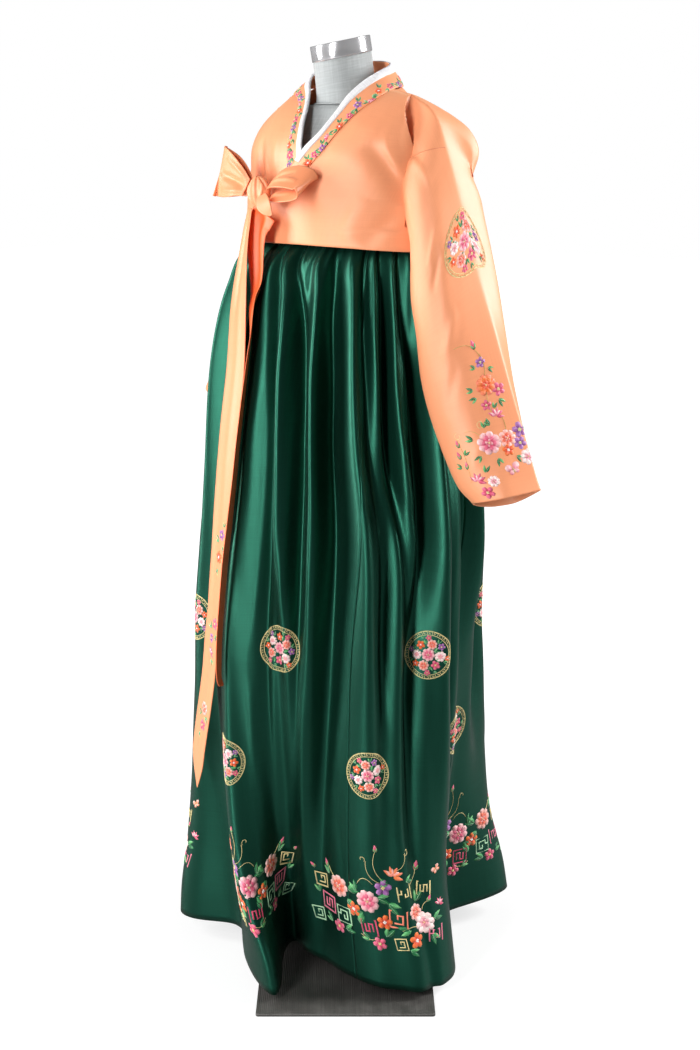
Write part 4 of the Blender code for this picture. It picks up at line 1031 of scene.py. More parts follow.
def side_edge(z):
    """The body panels' outer edge: the side seam below the underarm, the armhole above it."""
    share = np.clip((z - UNDERARM + 0.010) / 0.010, 0, 1)
    share = share * share * (3 - 2 * share)
    return smooth(z, JACKET["z"], JACKET["half_width"]) * (1 - share) + armhole_x(z) * share


def back_top(x):
    return shoulder_height(x) + BACK_RISE * np.maximum(1 - (x / NECK_END) ** 2, 0)


def body_panel(start_edge, end_edge, front, lift, shares, heights, rows, phase):
    """A panel between two upright edges, from the hem to the shoulder line.

    Its plan is a full oval, its rows fan out to the shoulder line, and its depth takes the creases
    and a slow ripple. Both die away at the side, where it meets the next panel.
    """
    s, height = np.meshgrid(shares, heights)
    half_width = smooth(height, JACKET["z"], JACKET["half_width"])
    z = height
    for _ in range(3):  # a row's height and its edges' places hang on each other
        start = np.arcsin(np.clip(start_edge(z) / half_width, -1, 1))
        end = np.arcsin(np.clip(end_edge(z) / half_width, -1, 1))
        x = half_width * np.sin(start + (end - start) * s)
        if front:
            stretch = (shoulder_height(x) - LEVEL_Z) / (shoulder_height(x[:, :1]) - LEVEL_Z)
        else:
            stretch = (back_top(x) - LEVEL_Z) / (heights[-1] - LEVEL_Z)
        z = np.where(height > LEVEL_Z, LEVEL_Z + (height - LEVEL_Z) * stretch, height)
        top = shoulder_height(x[-1]) if front else back_top(x[-1])
        z = z + (top - z[-1]) * np.clip((height - LEVEL_Z) / (heights[-1] - LEVEL_Z), 0, 1) ** 6
    low_share = np.clip((LEVEL_Z - height) / (LEVEL_Z - HEM_Z), 0, 1) ** 2
    z = z + HEM_RISE * low_share * np.maximum(1 - (x / half_width) ** 2, 0)
    depth = jacket_depth(x, z, front, lift)
    fade = np.clip(depth / 0.06, 0, 1)
    depth = depth + (creases(x, z, rows) + ripple(x, z, 0.0012, 0.12, phase)) * fade
    return np.stack([x, (-1 if front else 1) * depth, z], axis=-1)


def collar_edges(parts):
    """The collar's two edges as rows of points, each with its stand-off from the front it edges."""
    places = np.arange(len(COLLAR["lift"]))
    t = np.linspace(0, places[-1], places[-1] * parts + 1)
    read = {k: smooth(t, places, COLLAR[k]) for k in COLLAR}
    edges = []
    for side in ("outer_", "inner_"):
        x, y, z, rest = (read[side + k] for k in ("x", "y", "z", "rest"))
        rest = np.clip(rest, 0, 1)
        on_front = -jacket_depth(x, z, True, read["lift"] * LAP) - GAP
        edges.append(np.stack([x, y * (1 - rest) + on_front * rest, z], axis=1))
    return edges


def collar_faces(first, last, shares, out, parts=8):
    """Points and directions across part of the collar's width, from one table row to another."""
    outer, inner = collar_edges(parts)
    width = inner - outer
    looks = [unit(np.cross(np.gradient(edge, axis=0), width)) for edge in (outer, inner)]
    side = 1 if looks[0][len(outer) // 2, 1] > 0 else -1
    rows = slice(round(first * parts), round(last * parts) + 1)
    across = np.asarray(shares)[None, :, None]
    points = outer[:, None] + width[:, None] * across
    look = side * unit(looks[0][:, None] * (1 - across) + looks[1][:, None] * across)
    out = np.broadcast_to(np.asarray(out, float), across.shape[1:2])
    return points[rows] + look[rows] * out[None, :, None], look[rows]


def front_edge(part, column, side):
    """A front's inner edge as heights and places: its table row below the collar, then under it."""
    neck = collar_edges(COLLAR_PARTS)[0][part]
    end_z = float(shoulder_height(side * NECK_END))
    neck = neck[(neck[:, 1] < 0) & (neck[:, 2] < end_z - 0.002)]
    neck = neck[np.argsort(neck[:, 2])]
    low = FRONT_EDGES["z"] < neck[0, 2] - 0.003
    z = np.concatenate([FRONT_EDGES["z"][low], neck[:, 2], [end_z]])
    x = [FRONT_EDGES[column][low], neck[:, 0] - side * SEAM_TUCK, [side * (NECK_END - SEAM_TUCK)]]
    x = np.concatenate(x)
    return lambda height: np.interp(height, z, x)


def front_heights(side, rows, below):
    """Row heights of a front: some below the collar, the collar's own, and the shoulder line's."""
    return finer([*below, *np.sort(COLLAR["outer_z"][rows]), shoulder_height(side * NECK_END)])


def make_jacket(finish):
    peach = finish["jacket"]
    last = len(COLLAR["lift"]) - 1
    middle = last * COLLAR_PARTS // 2
    left_edge = front_edge(slice(middle, None), "outer_front", 1)
    right_edge = front_edge(slice(0, middle), "inner_front", -1)

    def right_side(height):
        return -side_edge(height)

    heights = front_heights(1, slice(15, None), (HEM_Z, 1.274, 1.290, 1.310))
    shares = np.linspace(0, 1, 90)
    grid = body_panel(left_edge, side_edge, True, LAP, shares, heights, FRONT_LEFT_CREASES, 0.4)
    cloth("jacket_front_left_cloth", grid, (0, -1, 0.2), peach, JACKET_WALL,
          stands_for=("jacket_front_left",))
    heights = front_heights(-1, slice(0, 8), (HEM_Z, 1.274, 1.290, 1.330))
    shares = np.linspace(0, 1, 80)
    grid = body_panel(right_edge, right_side, True, 0.0, shares, heights, FRONT_RIGHT_CREASES, 2.0)
    cloth("jacket_front_right_cloth", grid, (0, -1, 0.2), peach, JACKET_WALL,
          stands_for=("jacket_front_right",))
    shares = np.linspace(0, 1, 130)
    heights = finer([HEM_Z, 1.274, 1.290, 1.305, 1.330, 1.355, 1.380, 1.405, 1.430, 1.455, 1.480, 1.500], 6)
    grid = body_panel(right_side, side_edge, False, 0.0, shares, heights, BACK_CREASES, 4.1)
    cloth("jacket_back_cloth", grid, (0, 1, 0.2), peach, JACKET_WALL,
          stands_for=("jacket_back",))


def make_collar(finish):
    """The collar band, crowned a little across and pressed down at its seam, and the white strip."""
    last = len(COLLAR["lift"]) - 1
    shares = np.array([0, 0.03, 0.08, 0.16, 0.30, 0.45, 0.60, 0.75, 0.90, 1.0])
    crown = COLLAR_RISE + np.array([-0.0009, 0.0002, 0.0006, 0.0009, 0.0010,
                                    0.0010, 0.0008, 0.0006, 0.0002, -0.0004])
    points, look = collar_faces(0, last, shares, crown)
    cloth("collar_cloth", points, look, finish["jacket"], 0.0014,
          stands_for=("collar",))
    stitch_collar(points, look, finish)
    shares = np.array([STRIP_START, STRIP_START + 0.02, 0.72, 0.80, 0.90, 0.97, 1.0, 1.03])
    crown = COLLAR_RISE + np.array([0.0004, 0.0018, 0.0026, 0.0028, 0.0027, 0.0023, 0.0014, -0.0006])
    points, look = collar_faces(*STRIP_ROWS, shares, crown)
    cloth("collar_strip_cloth", points, look, finish["strip"], 0.0010,
          stands_for=("collar_strip",))


# ---- sleeves -----------------------------------------------------------------------------------

# Creases: from one share of the sleeve's length and angle round it (degrees, 0 at the
# top edge, 90 on the front) to another, then half width, depth and bow in metres.
SLEEVE_LEFT_CREASES = [
    (0.03, 64, 0.16, 40, 0.008, -0.0045, 0.003),
    (0.10, 58, 0.24, 46, 0.007, 0.0024, 0.002),
    (0.32, 60, 0.38, 100, 0.009, 0.0022, 0.003),
    (0.38, 66, 0.45, 104, 0.008, -0.0022, 0.003),
    (0.52, 60, 0.60, 110, 0.010, 0.0020, -0.004),
    (0.62, 80, 0.72, 120, 0.010, -0.0020, 0.003),
    (0.80, 70, 0.86, 120, 0.010, 0.0020, 0.004),
    (0.06, 120, 0.30, 150, 0.010, 0.0030, 0.003),
    (0.20, 210, 0.34, 260, 0.011, -0.0034, 0.004),
    (0.40, 220, 0.50, 280, 0.010, 0.0030, -0.004),
    (0.58, 240, 0.72, 290, 0.011, -0.0030, 0.003),
    (0.05, 250, 0.22, 310, 0.010, -0.0040, 0.004),
]
SLEEVE_RIGHT_CREASES = [
    (0.05, 60, 0.24, 100, 0.009, -0.0036, 0.003),
    (0.24, 60, 0.36, 120, 0.009, 0.0028, -0.003),
    (0.44, 70, 0.54, 120, 0.009, -0.0026, 0.003),
    (0.64, 60, 0.76, 110, 0.010, 0.0024, 0.003),
    (0.10, 240, 0.28, 300, 0.011, -0.0036, -0.004),
    (0.34, 220, 0.50, 280, 0.011, 0.0030, 0.004),
    (0.58, 230, 0.72, 290, 0.010, -0.0030, 0.003),
]
SLEEVE_LENGTH = 0.62
SLEEVE_GIRTH = 0.40
TOP_FOLD = 0.56  # how sharply the tube is folded along its top edge; 1 would be round, 0.5 flat-sided


def armhole_ring(side, turn):
    """The armhole's outline, in the order of a sleeve's ring: top, front, underarm, back."""
    c, s = np.cos(turn), np.sin(turn)
    top, under = shoulder_height(side * (ARMHOLE_X - ARMHOLE_LEAN)), UNDERARM - UNDER_DIP
    z = (top + under) / 2 + (top - under) / 2 * c
    at = side * armhole_x(z)
    open_share = np.clip(np.abs(s) / 0.45, 0, 1) ** 0.8
    lift = LAP if side > 0 else 0.0
    depth = np.where(s > 0, jacket_depth(at, z, True, lift), jacket_depth(at, z, False))
    y = -np.sign(s) * depth * np.where(c < 0, open_share, 1)
    below = smooth(UNDERARM, JACKET["z"], JACKET["half_width"]) - ARMHOLE_X
    x = np.abs(at) - SLEEVE_TUCK + np.where(c < 0, (1 - open_share) * below, 0)
    return np.stack([side * x, y, z], axis=1)


def sleeve_points(sleeve, t, turn, rows):
    """A flattened tube: t is the share of its length, turn the angle round it from its top edge.

    Its middle line and half height come from the top and underarm edges, and its faces swell out by
    sin(turn) ^ power, folded along the top edge and flat along the underarm. Its back face leans out
    from the body by the lean column and up by the rise column, so that the top edge is a soft fold
    between two faces.
    """
    places = np.linspace(0, 1, len(sleeve["top_x"]))
    read = {k: smooth(t, places, sleeve[k]) for k in sleeve}
    top = np.stack([read["top_" + k] for k in "xyz"], axis=1)
    under = np.stack([read["under_" + k] for k in "xyz"], axis=1)
    middle, half = (top + under) / 2, (top - under) / 2
    along = unit(np.gradient(middle, axis=0))
    face = unit(np.cross(along, half))
    face *= np.where(face[:, 1:2] > 0, -1, 1)
    c, s = np.cos(turn), np.sin(turn)
    fall = (1 - c) / 2
    raised = 1 - 2 * fall ** (TOP_FOLD + (1 - TOP_FOLD) * fall)
    swell = np.sign(s) * np.abs(s) ** np.where(c > 0, 1.0, 1.3)
    depth = np.where(s > 0, read["front"][:, None], read["back"][:, None]) * swell
    points = middle[:, None] + half[:, None] * raised[:, None] + face[:, None] * depth[..., None]
    side = np.sign(sleeve["top_x"][0])
    outward = np.array([side * SWAY[0], SWAY[1], 0])
    aback = np.where(s < 0, np.abs(s), 0)
    points = points + outward * (read["lean"][:, None] * aback)[..., None]
    points[..., 2] += read["rise"][:, None] * aback
    low = np.clip((t - 0.8) / 0.2, 0, 1)[:, None] ** 2 * np.clip(-s, 0, 1)[None, :]
    points[..., 2] -= CUFF_DROP * low
    start = armhole_ring(side, turn)
    share = np.clip(1 - t / 0.06, 0, 1)[:, None, None]
    share = share * share * (3 - 2 * share)
    points = points * (1 - share) + start[None] * share
    out = unit(points - middle[:, None])
    metres = [(a * SLEEVE_LENGTH, math.radians(b) / math.tau * SLEEVE_GIRTH,
               c_ * SLEEVE_LENGTH, math.radians(d) / math.tau * SLEEVE_GIRTH, *rest)
              for a, b, c_, d, *rest in rows]
    along_it = t[:, None] * SLEEVE_LENGTH
    round_it = (turn / math.tau * SLEEVE_GIRTH)[None, :]
    lift = creases(along_it, round_it, metres)
    lift = lift + ripple(0.1 * np.cos(turn)[None, :], along_it, 0.0011, 0.1, side)
    fade = np.clip(t / 0.06, 0, 1)[:, None]
    return points + out * (lift * fade)[..., None]


def make_sleeves(finish):
    t = np.concatenate([np.linspace(0, 0.06, 8)[:-1], np.linspace(0.06, 1, 120)])
    turn = np.arange(120) * math.tau / 120
    grids = {}
    for name, sleeve, rows in (
        ("sleeve_left", SLEEVE_LEFT, SLEEVE_LEFT_CREASES),
        ("sleeve_right", SLEEVE_RIGHT, SLEEVE_RIGHT_CREASES),
    ):
        grid = sleeve_points(sleeve, t, turn, rows)
        grids[name] = grid
        out = grid - grid.mean(axis=1, keepdims=True)
        cloth(name + "_cloth", grid, out, finish["jacket"], JACKET_WALL, closed=True,
              stands_for=(name,))
    stitch_sleeves(grids, finish)


# ---- bow ---------------------------------------------------------------------------------------

# Creases on a band: from one share of its length and metres from its middle line to another, then
# half width, depth and bow in metres.
LOOP_LEFT_CREASES = [
    (0.02, 0.000, 0.36, -0.004, 0.006, -0.0080, 0.000),
    (0.00, 0.008, 0.30, 0.026, 0.004, 0.0030, 0.002),
    (0.00, -0.006, 0.30, -0.026, 0.004, 0.0026, -0.002),
    (0.70, 0.000, 1.00, 0.004, 0.006, -0.0050, 0.000),
]
LOOP_RIGHT_CREASES = [
    (0.00, 0.004, 0.34, 0.008, 0.004, 0.0030, 0.000),
    (0.00, -0.004, 0.26, -0.010, 0.004, -0.0030, 0.000),
    (0.74, 0.002, 1.00, 0.000, 0.005, -0.0030, 0.000),
]
TAIL_SHORT_CREASES = [
    (0.00, 0.002, 0.26, -0.002, 0.008, -0.0090, 0.000),
    (0.02, 0.016, 0.30, 0.010, 0.004, 0.0024, 0.000),
    (0.20, -0.004, 0.60, 0.002, 0.005, -0.0016, 0.002),
]
TAIL_LONG_CREASES = [
    (0.00, 0.004, 0.20, 0.008, 0.006, -0.0040, 0.000),
    (0.10, -0.008, 0.46, -0.004, 0.009, 0.0016, 0.002),
    (0.40, 0.010, 0.74, 0.004, 0.010, -0.0014, 0.003),
    (0.62, -0.012, 0.92, -0.002, 0.009, 0.0014, 0.002),
]


def band_points(route, steps, across, rows=()):
    """A flat band along a route's rows: its width lies square to the route and to where it looks."""
    places = np.linspace(0, 1, len(route["x"]))
    t = np.linspace(0, 1, steps)
    middle = np.stack([smooth(t, places, route[k]) for k in ("x", "y", "z")], axis=1)
    look = np.stack([smooth(t, places, route[k]) for k in ("look_x", "look_y", "look_z")], axis=1)
    width = smooth(t, places, route["width"])
    along = unit(np.gradient(middle, axis=0))
    look = unit(look - along * (look * along).sum(axis=1, keepdims=True))
    side = np.cross(along, look)
    u = np.linspace(-0.5, 0.5, across)
    length = np.linalg.norm(np.diff(middle, axis=0), axis=1).sum()
    aside = u[None, :] * width[:, None]
    metres = [(a * length, b, c * length, d, w, depth, bow) for a, b, c, d, w, depth, bow in rows]
    lift = creases(t[:, None] * length, aside, metres)
    points = middle[:, None] + side[:, None] * aside[..., None] + look[:, None] * lift[..., None]
    return points, np.broadcast_to(look[:, None], points.shape)


def clear_of_skirt(route):
    """The same route with each row moved straight out until its band clears the skirt."""
    places = np.arange(len(route["z"]))
    finer_places = np.linspace(0, places[-1], 3 * len(places))
    rows = np.column_stack([smooth(finer_places, places, route[k]) for k in route])
    spread = np.linspace(-0.5, 0.5, 7)
    degrees = np.arange(180, 361, 0.5)
    for row in rows:
        x, y, z, look_x, look_y, _, width = row
        level = (SKIRT["z"][0] - z) / (SKIRT["z"][0] - SKIRT["z"][-1])
        if level < 0.03:
            continue
        skirt = skirt_points(degrees, np.full_like(degrees, level))
        headings = np.arctan2(skirt[:, 1], skirt[:, 0])
        reaches = np.hypot(skirt[:, 0], skirt[:, 1])
        order = np.argsort(headings)
        side = unit(np.array([-look_y, look_x]))
        px, py = x + side[0] * spread * width, y + side[1] * spread * width
        needed = np.interp(np.arctan2(py, px), headings[order], reaches[order]) + TIE_CLEAR + TIE_WALL
        short = max(0.0, (needed - np.hypot(px, py)).max())
        row[:2] += unit(np.array([x, y])) * short
    return dict(zip(route, rows.T))


def make_bow(finish):
    bands = (
        ("tie_tail_long", clear_of_skirt(TIE_LONG), 220, 17, TAIL_LONG_CREASES),
        ("tie_tail_short", clear_of_skirt(TIE_SHORT), 200, 17, TAIL_SHORT_CREASES),
        ("tie_loop_left", LOOP_LEFT, 120, 33, LOOP_LEFT_CREASES),
        ("tie_loop_right", LOOP_RIGHT, 110, 25, LOOP_RIGHT_CREASES),
        ("tie_end", TIE_END, 30, 13, ()),
    )
    for name, route, steps, across, rows in bands:
        points, look = band_points(route, steps, across, rows)
        # The short tail takes the darker copy of the tie satin, which is painted shade; the other bands take
        # the tie satin.
        satin_or_painted_shade = finish["tie_painted_shade"] if name == "tie_tail_short" else finish["tie"]
        cloth(name + "_cloth", points, look, satin_or_painted_shade, TIE_WALL,
              stands_for=(name,))
        if name == "tie_tail_long":
            stitch_tail(points, look, finish)
    make_knot(finish)


KNOT_CREASES = [
    # turn and latitude in degrees to turn and latitude, half width, depth, bow
    (-120, 70, -104, -70, 7, -0.0026, 6),
    (-78, 60, -64, -66, 8, -0.0030, -8),
    (-100, 80, -84, -20, 6, 0.0022, 4),
    (-44, 40, -70, -40, 7, 0.0022, 6),
    (-140, 30, -120, -50, 8, 0.0020, -4),
    (-60, 70, -20, 10, 8, -0.0024, 6),
]


def make_knot(finish):
    """The knot: an upright egg whose wraps show as slanted creases, in degrees round it and up it."""
    turn = np.linspace(-180, 180, 96, endpoint=False)
    latitude = np.linspace(-86, 86, 60)
    lat, lon = np.meshgrid(np.radians(latitude), np.radians(turn), indexing="ij")
    shape = np.stack([np.cos(lon) * np.cos(lat), np.sin(lon) * np.cos(lat), np.sin(lat)], axis=-1)
    lift = creases(np.degrees(lon), np.degrees(lat), KNOT_CREASES)
    grid = shape * (np.array(KNOT_RADII) + lift[..., None]) + KNOT_CENTRE
    solid("tie_knot_cloth", grid, finish["tie"], ("tie_knot",))


# ---- embroidery --------------------------------------------------------------------------------

THREADS = {
    "white": srgb(250, 238, 232), "pale": srgb(250, 208, 204), "pink": srgb(236, 122, 148),
    "rose": srgb(214, 66, 104), "salmon": srgb(248, 134, 104), "orange": srgb(246, 128, 48),
    "red": srgb(226, 70, 44), "lilac": srgb(190, 132, 192), "purple": srgb(132, 62, 142),
    "leaf": srgb(24, 132, 68), "young": srgb(122, 204, 126), "deep": srgb(10, 88, 50),
    "mint": srgb(176, 222, 178), "gold": srgb(230, 210, 146), "old_gold": srgb(198, 170, 96),
    # Darker orange than the jacket, for the sleeve's seam line: painted shade of the seam's groove.
    "seam_painted_shade": srgb(222, 128, 84),
}
STITCH_SINK = 0.0002  # how far a patch's rim lies in under the cloth's face
STITCH_RISE = 0.0006  # how far its middle stands over it
LAYER = 0.00022  # one layer of stitches over another


def patch(length, width, inner, outer, profile, lift=0.0, start=0.0, curl=0.0):
    """One filled shape of close stitches, such as a petal: from a place start along X, width by profile.

    Its height is a dome, 1 - (2 u - 1)^4 along it by 1 - v^4 across, and its colour runs from inner to outer.
    """
    u = np.linspace(0, 1, len(profile))[:, None]
    v = np.array([-1, 0, 1])[None, :]
    half = np.array(profile)[:, None] * width / 2
    x = start + length * u + 0 * v
    y = half * v + curl * length * u**2
    dome = (1 - (2 * u - 1) ** 4) * (1 - v**4)
    height = lift - STITCH_SINK + (STITCH_RISE + STITCH_SINK) * dome
    share = (u + 0 * v)[..., None] ** 1.3
    colour = np.array(THREADS[inner]) * (1 - share) + np.array(THREADS[outer]) * share
    return np.stack([x, y, height], axis=-1), colour, np.stack([y, x], axis=-1)


PETAL = (0.34, 0.84, 1.0, 0.92, 0.50)
LEAF = (0.16, 0.80, 1.0, 0.62, 0.08)
BUD = (0.50, 1.0, 0.90, 0.56, 0.14)
WING = (0.20, 0.62, 1.0, 0.96, 0.40)


def line(path, width, colour, lift=0.0):
    """A narrow raised line of stitches along a path of points, its corners mitred."""
    path = np.asarray(path, float)
    ahead = unit(np.diff(path, axis=0))
    before, after = np.vstack([ahead[:1], ahead]), np.vstack([ahead, ahead[-1:]])
    aside = unit(before + after)[:, ::-1] * (-1, 1)
    reach = 1 / np.maximum((aside * (before[:, ::-1] * (-1, 1))).sum(axis=1), 0.5)
    v = np.array([-1, 0, 1])[None, :, None]
    flat = path[:, None] + aside[:, None] * reach[:, None, None] * v * width / 2
    height = lift + np.array([-STITCH_SINK, STITCH_RISE, -STITCH_SINK])
    points = np.concatenate([flat, np.broadcast_to(height[None, :, None], (*flat.shape[:2], 1))], axis=-1)
    colours = np.broadcast_to(np.array(THREADS[colour]), points.shape)
    run = np.concatenate([[0], np.cumsum(np.linalg.norm(np.diff(path, axis=0), axis=1))])
    uv = np.stack([np.broadcast_to(v[..., 0] * width / 2, flat.shape[:2]),
                   np.broadcast_to(run[:, None], flat.shape[:2])], axis=-1)
    return points, colours, uv


def moved(patches, place=(0, 0), turn=0.0, scale=1.0, lift=0.0):
    """Patches turned by degrees, scaled in their plane, and set at a place."""
    c, s = math.cos(math.radians(turn)) * scale, math.sin(math.radians(turn)) * scale
    made = []
    for points, colours, uv in patches:
        x, y, height = points[..., 0], points[..., 1], points[..., 2] + lift
        turned = np.stack([place[0] + c * x - s * y, place[1] + s * x + c * y, height], axis=-1)
        made.append((turned, colours, uv * scale))
    return made


def fan(count, start, length, width, inner, outer, lift=0.0, first=0.0, spread=360.0, shape=PETAL):
    """Petals set round a point, every second one a layer higher so that neighbours overlap cleanly."""
    step = spread / count
    made = []
    for i in range(count):
        one = patch(length, width, inner, outer, shape, lift + (i % 2) * LAYER / 2, start)
        made += moved([one], turn=first + i * step)
    return made


def peony(radius, colours=("rose", "pink", "pale"), turn=0.0):
    """A full round flower: a ring of broad petals, a ring over it, and a tight heart."""
    deep, middle, tip = colours
    r = radius
    return moved(
        fan(8, 0.30 * r, 0.70 * r, 0.66 * r, middle, tip)
        + fan(6, 0.12 * r, 0.58 * r, 0.52 * r, deep, middle, 1.2 * LAYER, 20)
        + fan(4, 0.02 * r, 0.34 * r, 0.32 * r, deep, tip, 2.4 * LAYER, 45)
        + fan(3, 0.0, 0.13 * r, 0.12 * r, "gold", "gold", 3.6 * LAYER, 10),
        turn=turn,
    )


def blossom(radius, colours=("gold", "orange", "red"), turn=0.0):
    """A small flower of five petals with a pale heart."""
    heart, inner, outer = colours
    r = radius
    return moved(
        fan(5, 0.14 * r, 0.86 * r, 0.74 * r, inner, outer)
        + fan(4, 0.0, 0.26 * r, 0.24 * r, heart, heart, 1.2 * LAYER),
        turn=turn,
    )


def lotus(radius, colours=("pale", "salmon", "orange"), turn=0.0):
    """An open flower from the side: petals in a half circle, three upright ones over them."""
    tip, middle, deep = colours
    r = radius
    return moved(
        fan(5, 0.10 * r, 0.92 * r, 0.46 * r, deep, middle, 0, -18, 180 * 5 / 4.4, BUD)
        + fan(3, 0.05 * r, 0.74 * r, 0.44 * r, middle, tip, 1.2 * LAYER, 40, 150, BUD),
        turn=turn,
    )


def bud(length, colours=("rose", "pink"), turn=90.0):
    """A closed flower in a green cup of two leaves."""
    return moved(
        [patch(length, 0.55 * length, *colours, BUD)]
        + moved([patch(0.62 * length, 0.24 * length, "leaf", "young", LEAF, LAYER)], turn=24)
        + moved([patch(0.62 * length, 0.24 * length, "leaf", "young", LEAF, LAYER)], turn=-24),
        turn=turn,
    )


def sprig(length, turns=(60, 20, -30), colours=("deep", "leaf", "young"), turn=0.0):
    """A few leaves from one point, each with a darker root, and a fine pale vein on the longest."""
    made = []
    for i, angle in enumerate(turns):
        size = length * (1 - 0.14 * (i % 3))
        leaf = [patch(size, 0.42 * size, colours[i % 2], colours[1 + i % 2], LEAF, (i % 2) * LAYER / 2,
                      curl=0.12 * (-1) ** i)]
        vein = [(0.1 * size, 0), (0.8 * size, 0.08 * size * (-1) ** i)]
        leaf.append(line(vein, 0.0006, "mint", 1.6 * LAYER))
        made += moved(leaf, turn=angle)
    return moved(made, turn=turn)


def stem(start, end, bow, width=0.0011, colour="gold", steps=9):
    """A bowed line from start to end, bow metres aside at its middle."""
    start, end = np.array(start, float), np.array(end, float)
    s = np.linspace(0, 1, steps)[:, None]
    ahead = end - start
    aside = np.array([-ahead[1], ahead[0]]) / max(np.hypot(*ahead), 1e-9)
    return line(start + ahead * s + aside * bow * 4 * s * (1 - s), width, colour)


def loop_tip(place, radius, turn=0.0, sweep=300.0, colour="gold", width=0.0011):
    """A curl of fine line at a stem's end."""
    angle = np.radians(np.linspace(0, sweep, 14))
    shrink = np.linspace(1, 0.45, 14)
    path = np.stack([np.cos(angle) * radius * shrink, np.sin(angle) * radius * shrink], axis=1)
    return moved([line(path, width, colour)], place, turn)


def fret(size, colour, turn=0.0, kind=0):
    """A square key pattern of straight lines: a frame with a folded path in it, of three kinds."""
    h = size / 2
    frame = line([(-h, -h), (h, -h), (h, h), (-h, h), (-h, -h * 1.02)], 0.12 * size, colour)
    q = 0.5 * h
    inside = (
        [(-q, -q), (q, -q), (q, q), (-q * 0.2, q), (-q * 0.2, 0)],
        [(-q, q), (-q, -q), (0, -q), (0, q), (q, q), (q, -q)],
        [(-h, 0), (-q, 0), (-q, q), (q, q), (q, -q), (0, -q), (0, 0)],
    )[kind % 3]
    return moved([frame, line(inside, 0.11 * size, colour, LAYER / 2)], turn=turn)


def butterfly(size, colours=("pink", "pale"), turn=0.0):
    inner, outer = colours
    wings = moved(fan(2, 0, size, 0.8 * size, inner, outer, 0, -52, 2 * 104, WING), turn=90)
    low = moved(fan(2, 0, 0.66 * size, 0.5 * size, outer, inner, LAYER, -124, 2 * 248, WING), turn=90)
    body = moved([patch(0.8 * size, 0.14 * size, "old_gold", "gold", LEAF, 2 * LAYER)], (0, -0.4 * size), 90)
    return moved(wings + low + body, turn=turn)


def key_ring(radius, height, units, colour):
    """A ring of square keys between two fine circles."""
    angle = np.linspace(0, math.tau, 61)
    made = []
    for r in (radius - height, radius):
        made.append(line(np.stack([np.cos(angle), np.sin(angle)], axis=1) * r, 0.0013, colour))
    key = np.array([(0.06, 0.15), (0.06, 0.85), (0.74, 0.85), (0.74, 0.40), (0.42, 0.40)])
    for i in range(units):
        turn = (i + key[:, 0]) * math.tau / units
        r = radius - height * (1 - key[:, 1])
        made.append(line(np.stack([np.cos(turn) * r, np.sin(turn) * r], axis=1), 0.0012, colour))
    return made


# Flowers in the skirt's round motifs: x, y, radius, kind, turn (shares of the round's own radius).
ROUND_FLOWERS = (
    (0.00, 0.02, 0.32, "pink_peony", 0), (0.46, 0.30, 0.25, "salmon_peony", 20),
    (-0.44, 0.36, 0.24, "white_peony", 40), (-0.50, -0.26, 0.26, "salmon_peony", 10),
    (0.40, -0.40, 0.27, "white_peony", 30), (0.00, 0.62, 0.22, "orange_blossom", 15),
    (-0.04, -0.60, 0.23, "pink_blossom", 5), (0.74, -0.06, 0.18, "purple_blossom", 25),
    (-0.76, 0.06, 0.17, "orange_blossom", 50), (0.52, 0.66, 0.15, "pink_blossom", 0),
    (-0.50, 0.72, 0.14, "purple_blossom", 8), (-0.58, -0.64, 0.15, "pink_blossom", 12),
    (0.60, -0.72, 0.14, "orange_blossom", 33),
)
ROUND_LEAVES = (
    (0.24, 0.46, 0.34, 60), (-0.24, 0.30, 0.34, 130), (0.30, -0.06, 0.36, -10), (-0.24, -0.16, 0.34, 200),
    (0.16, -0.36, 0.34, -70), (-0.30, -0.48, 0.30, 240), (0.70, 0.16, 0.28, 20), (-0.72, 0.28, 0.26, 150),
    (0.28, 0.76, 0.24, 70), (-0.26, -0.78, 0.24, 250), (0.34, -0.70, 0.26, -60), (-0.30, 0.62, 0.26, 110),
)
KINDS = {
    "pink_peony": (peony, ("rose", "pink", "pale")),
    "salmon_peony": (peony, ("red", "salmon", "pale")),
    "white_peony": (peony, ("pink", "white", "pale")),
    "orange_peony": (peony, ("red", "orange", "salmon")),
    "pink_blossom": (blossom, ("gold", "rose", "pink")),
    "orange_blossom": (blossom, ("white", "red", "orange")),
    "purple_blossom": (blossom, ("gold", "purple", "lilac")),
    "orange_lotus": (lotus, ("pale", "salmon", "orange")),
    "pink_lotus": (lotus, ("white", "pink", "rose")),
}


def flower(kind, radius, turn=0.0):
    made, colours = KINDS[kind]
    return made(radius, colours, turn)


def round_motif(radius, ring=True, flowers=ROUND_FLOWERS, leaves=ROUND_LEAVES):
    """A round of packed flowers and leaves, with a key border if it has a ring."""
    made = key_ring(radius, 0.16 * radius, 26, "gold") if ring else []
    inner = radius * (0.85 if ring else 1.0)
    for x, y, size, angle in leaves:
        made += moved(sprig(size * inner, (angle - 26, angle + 30)), (x * inner, y * inner))
    for x, y, size, kind, turn in flowers:
        made += moved(flower(kind, size * inner, turn), (x * inner, y * inner), lift=LAYER)
    return made


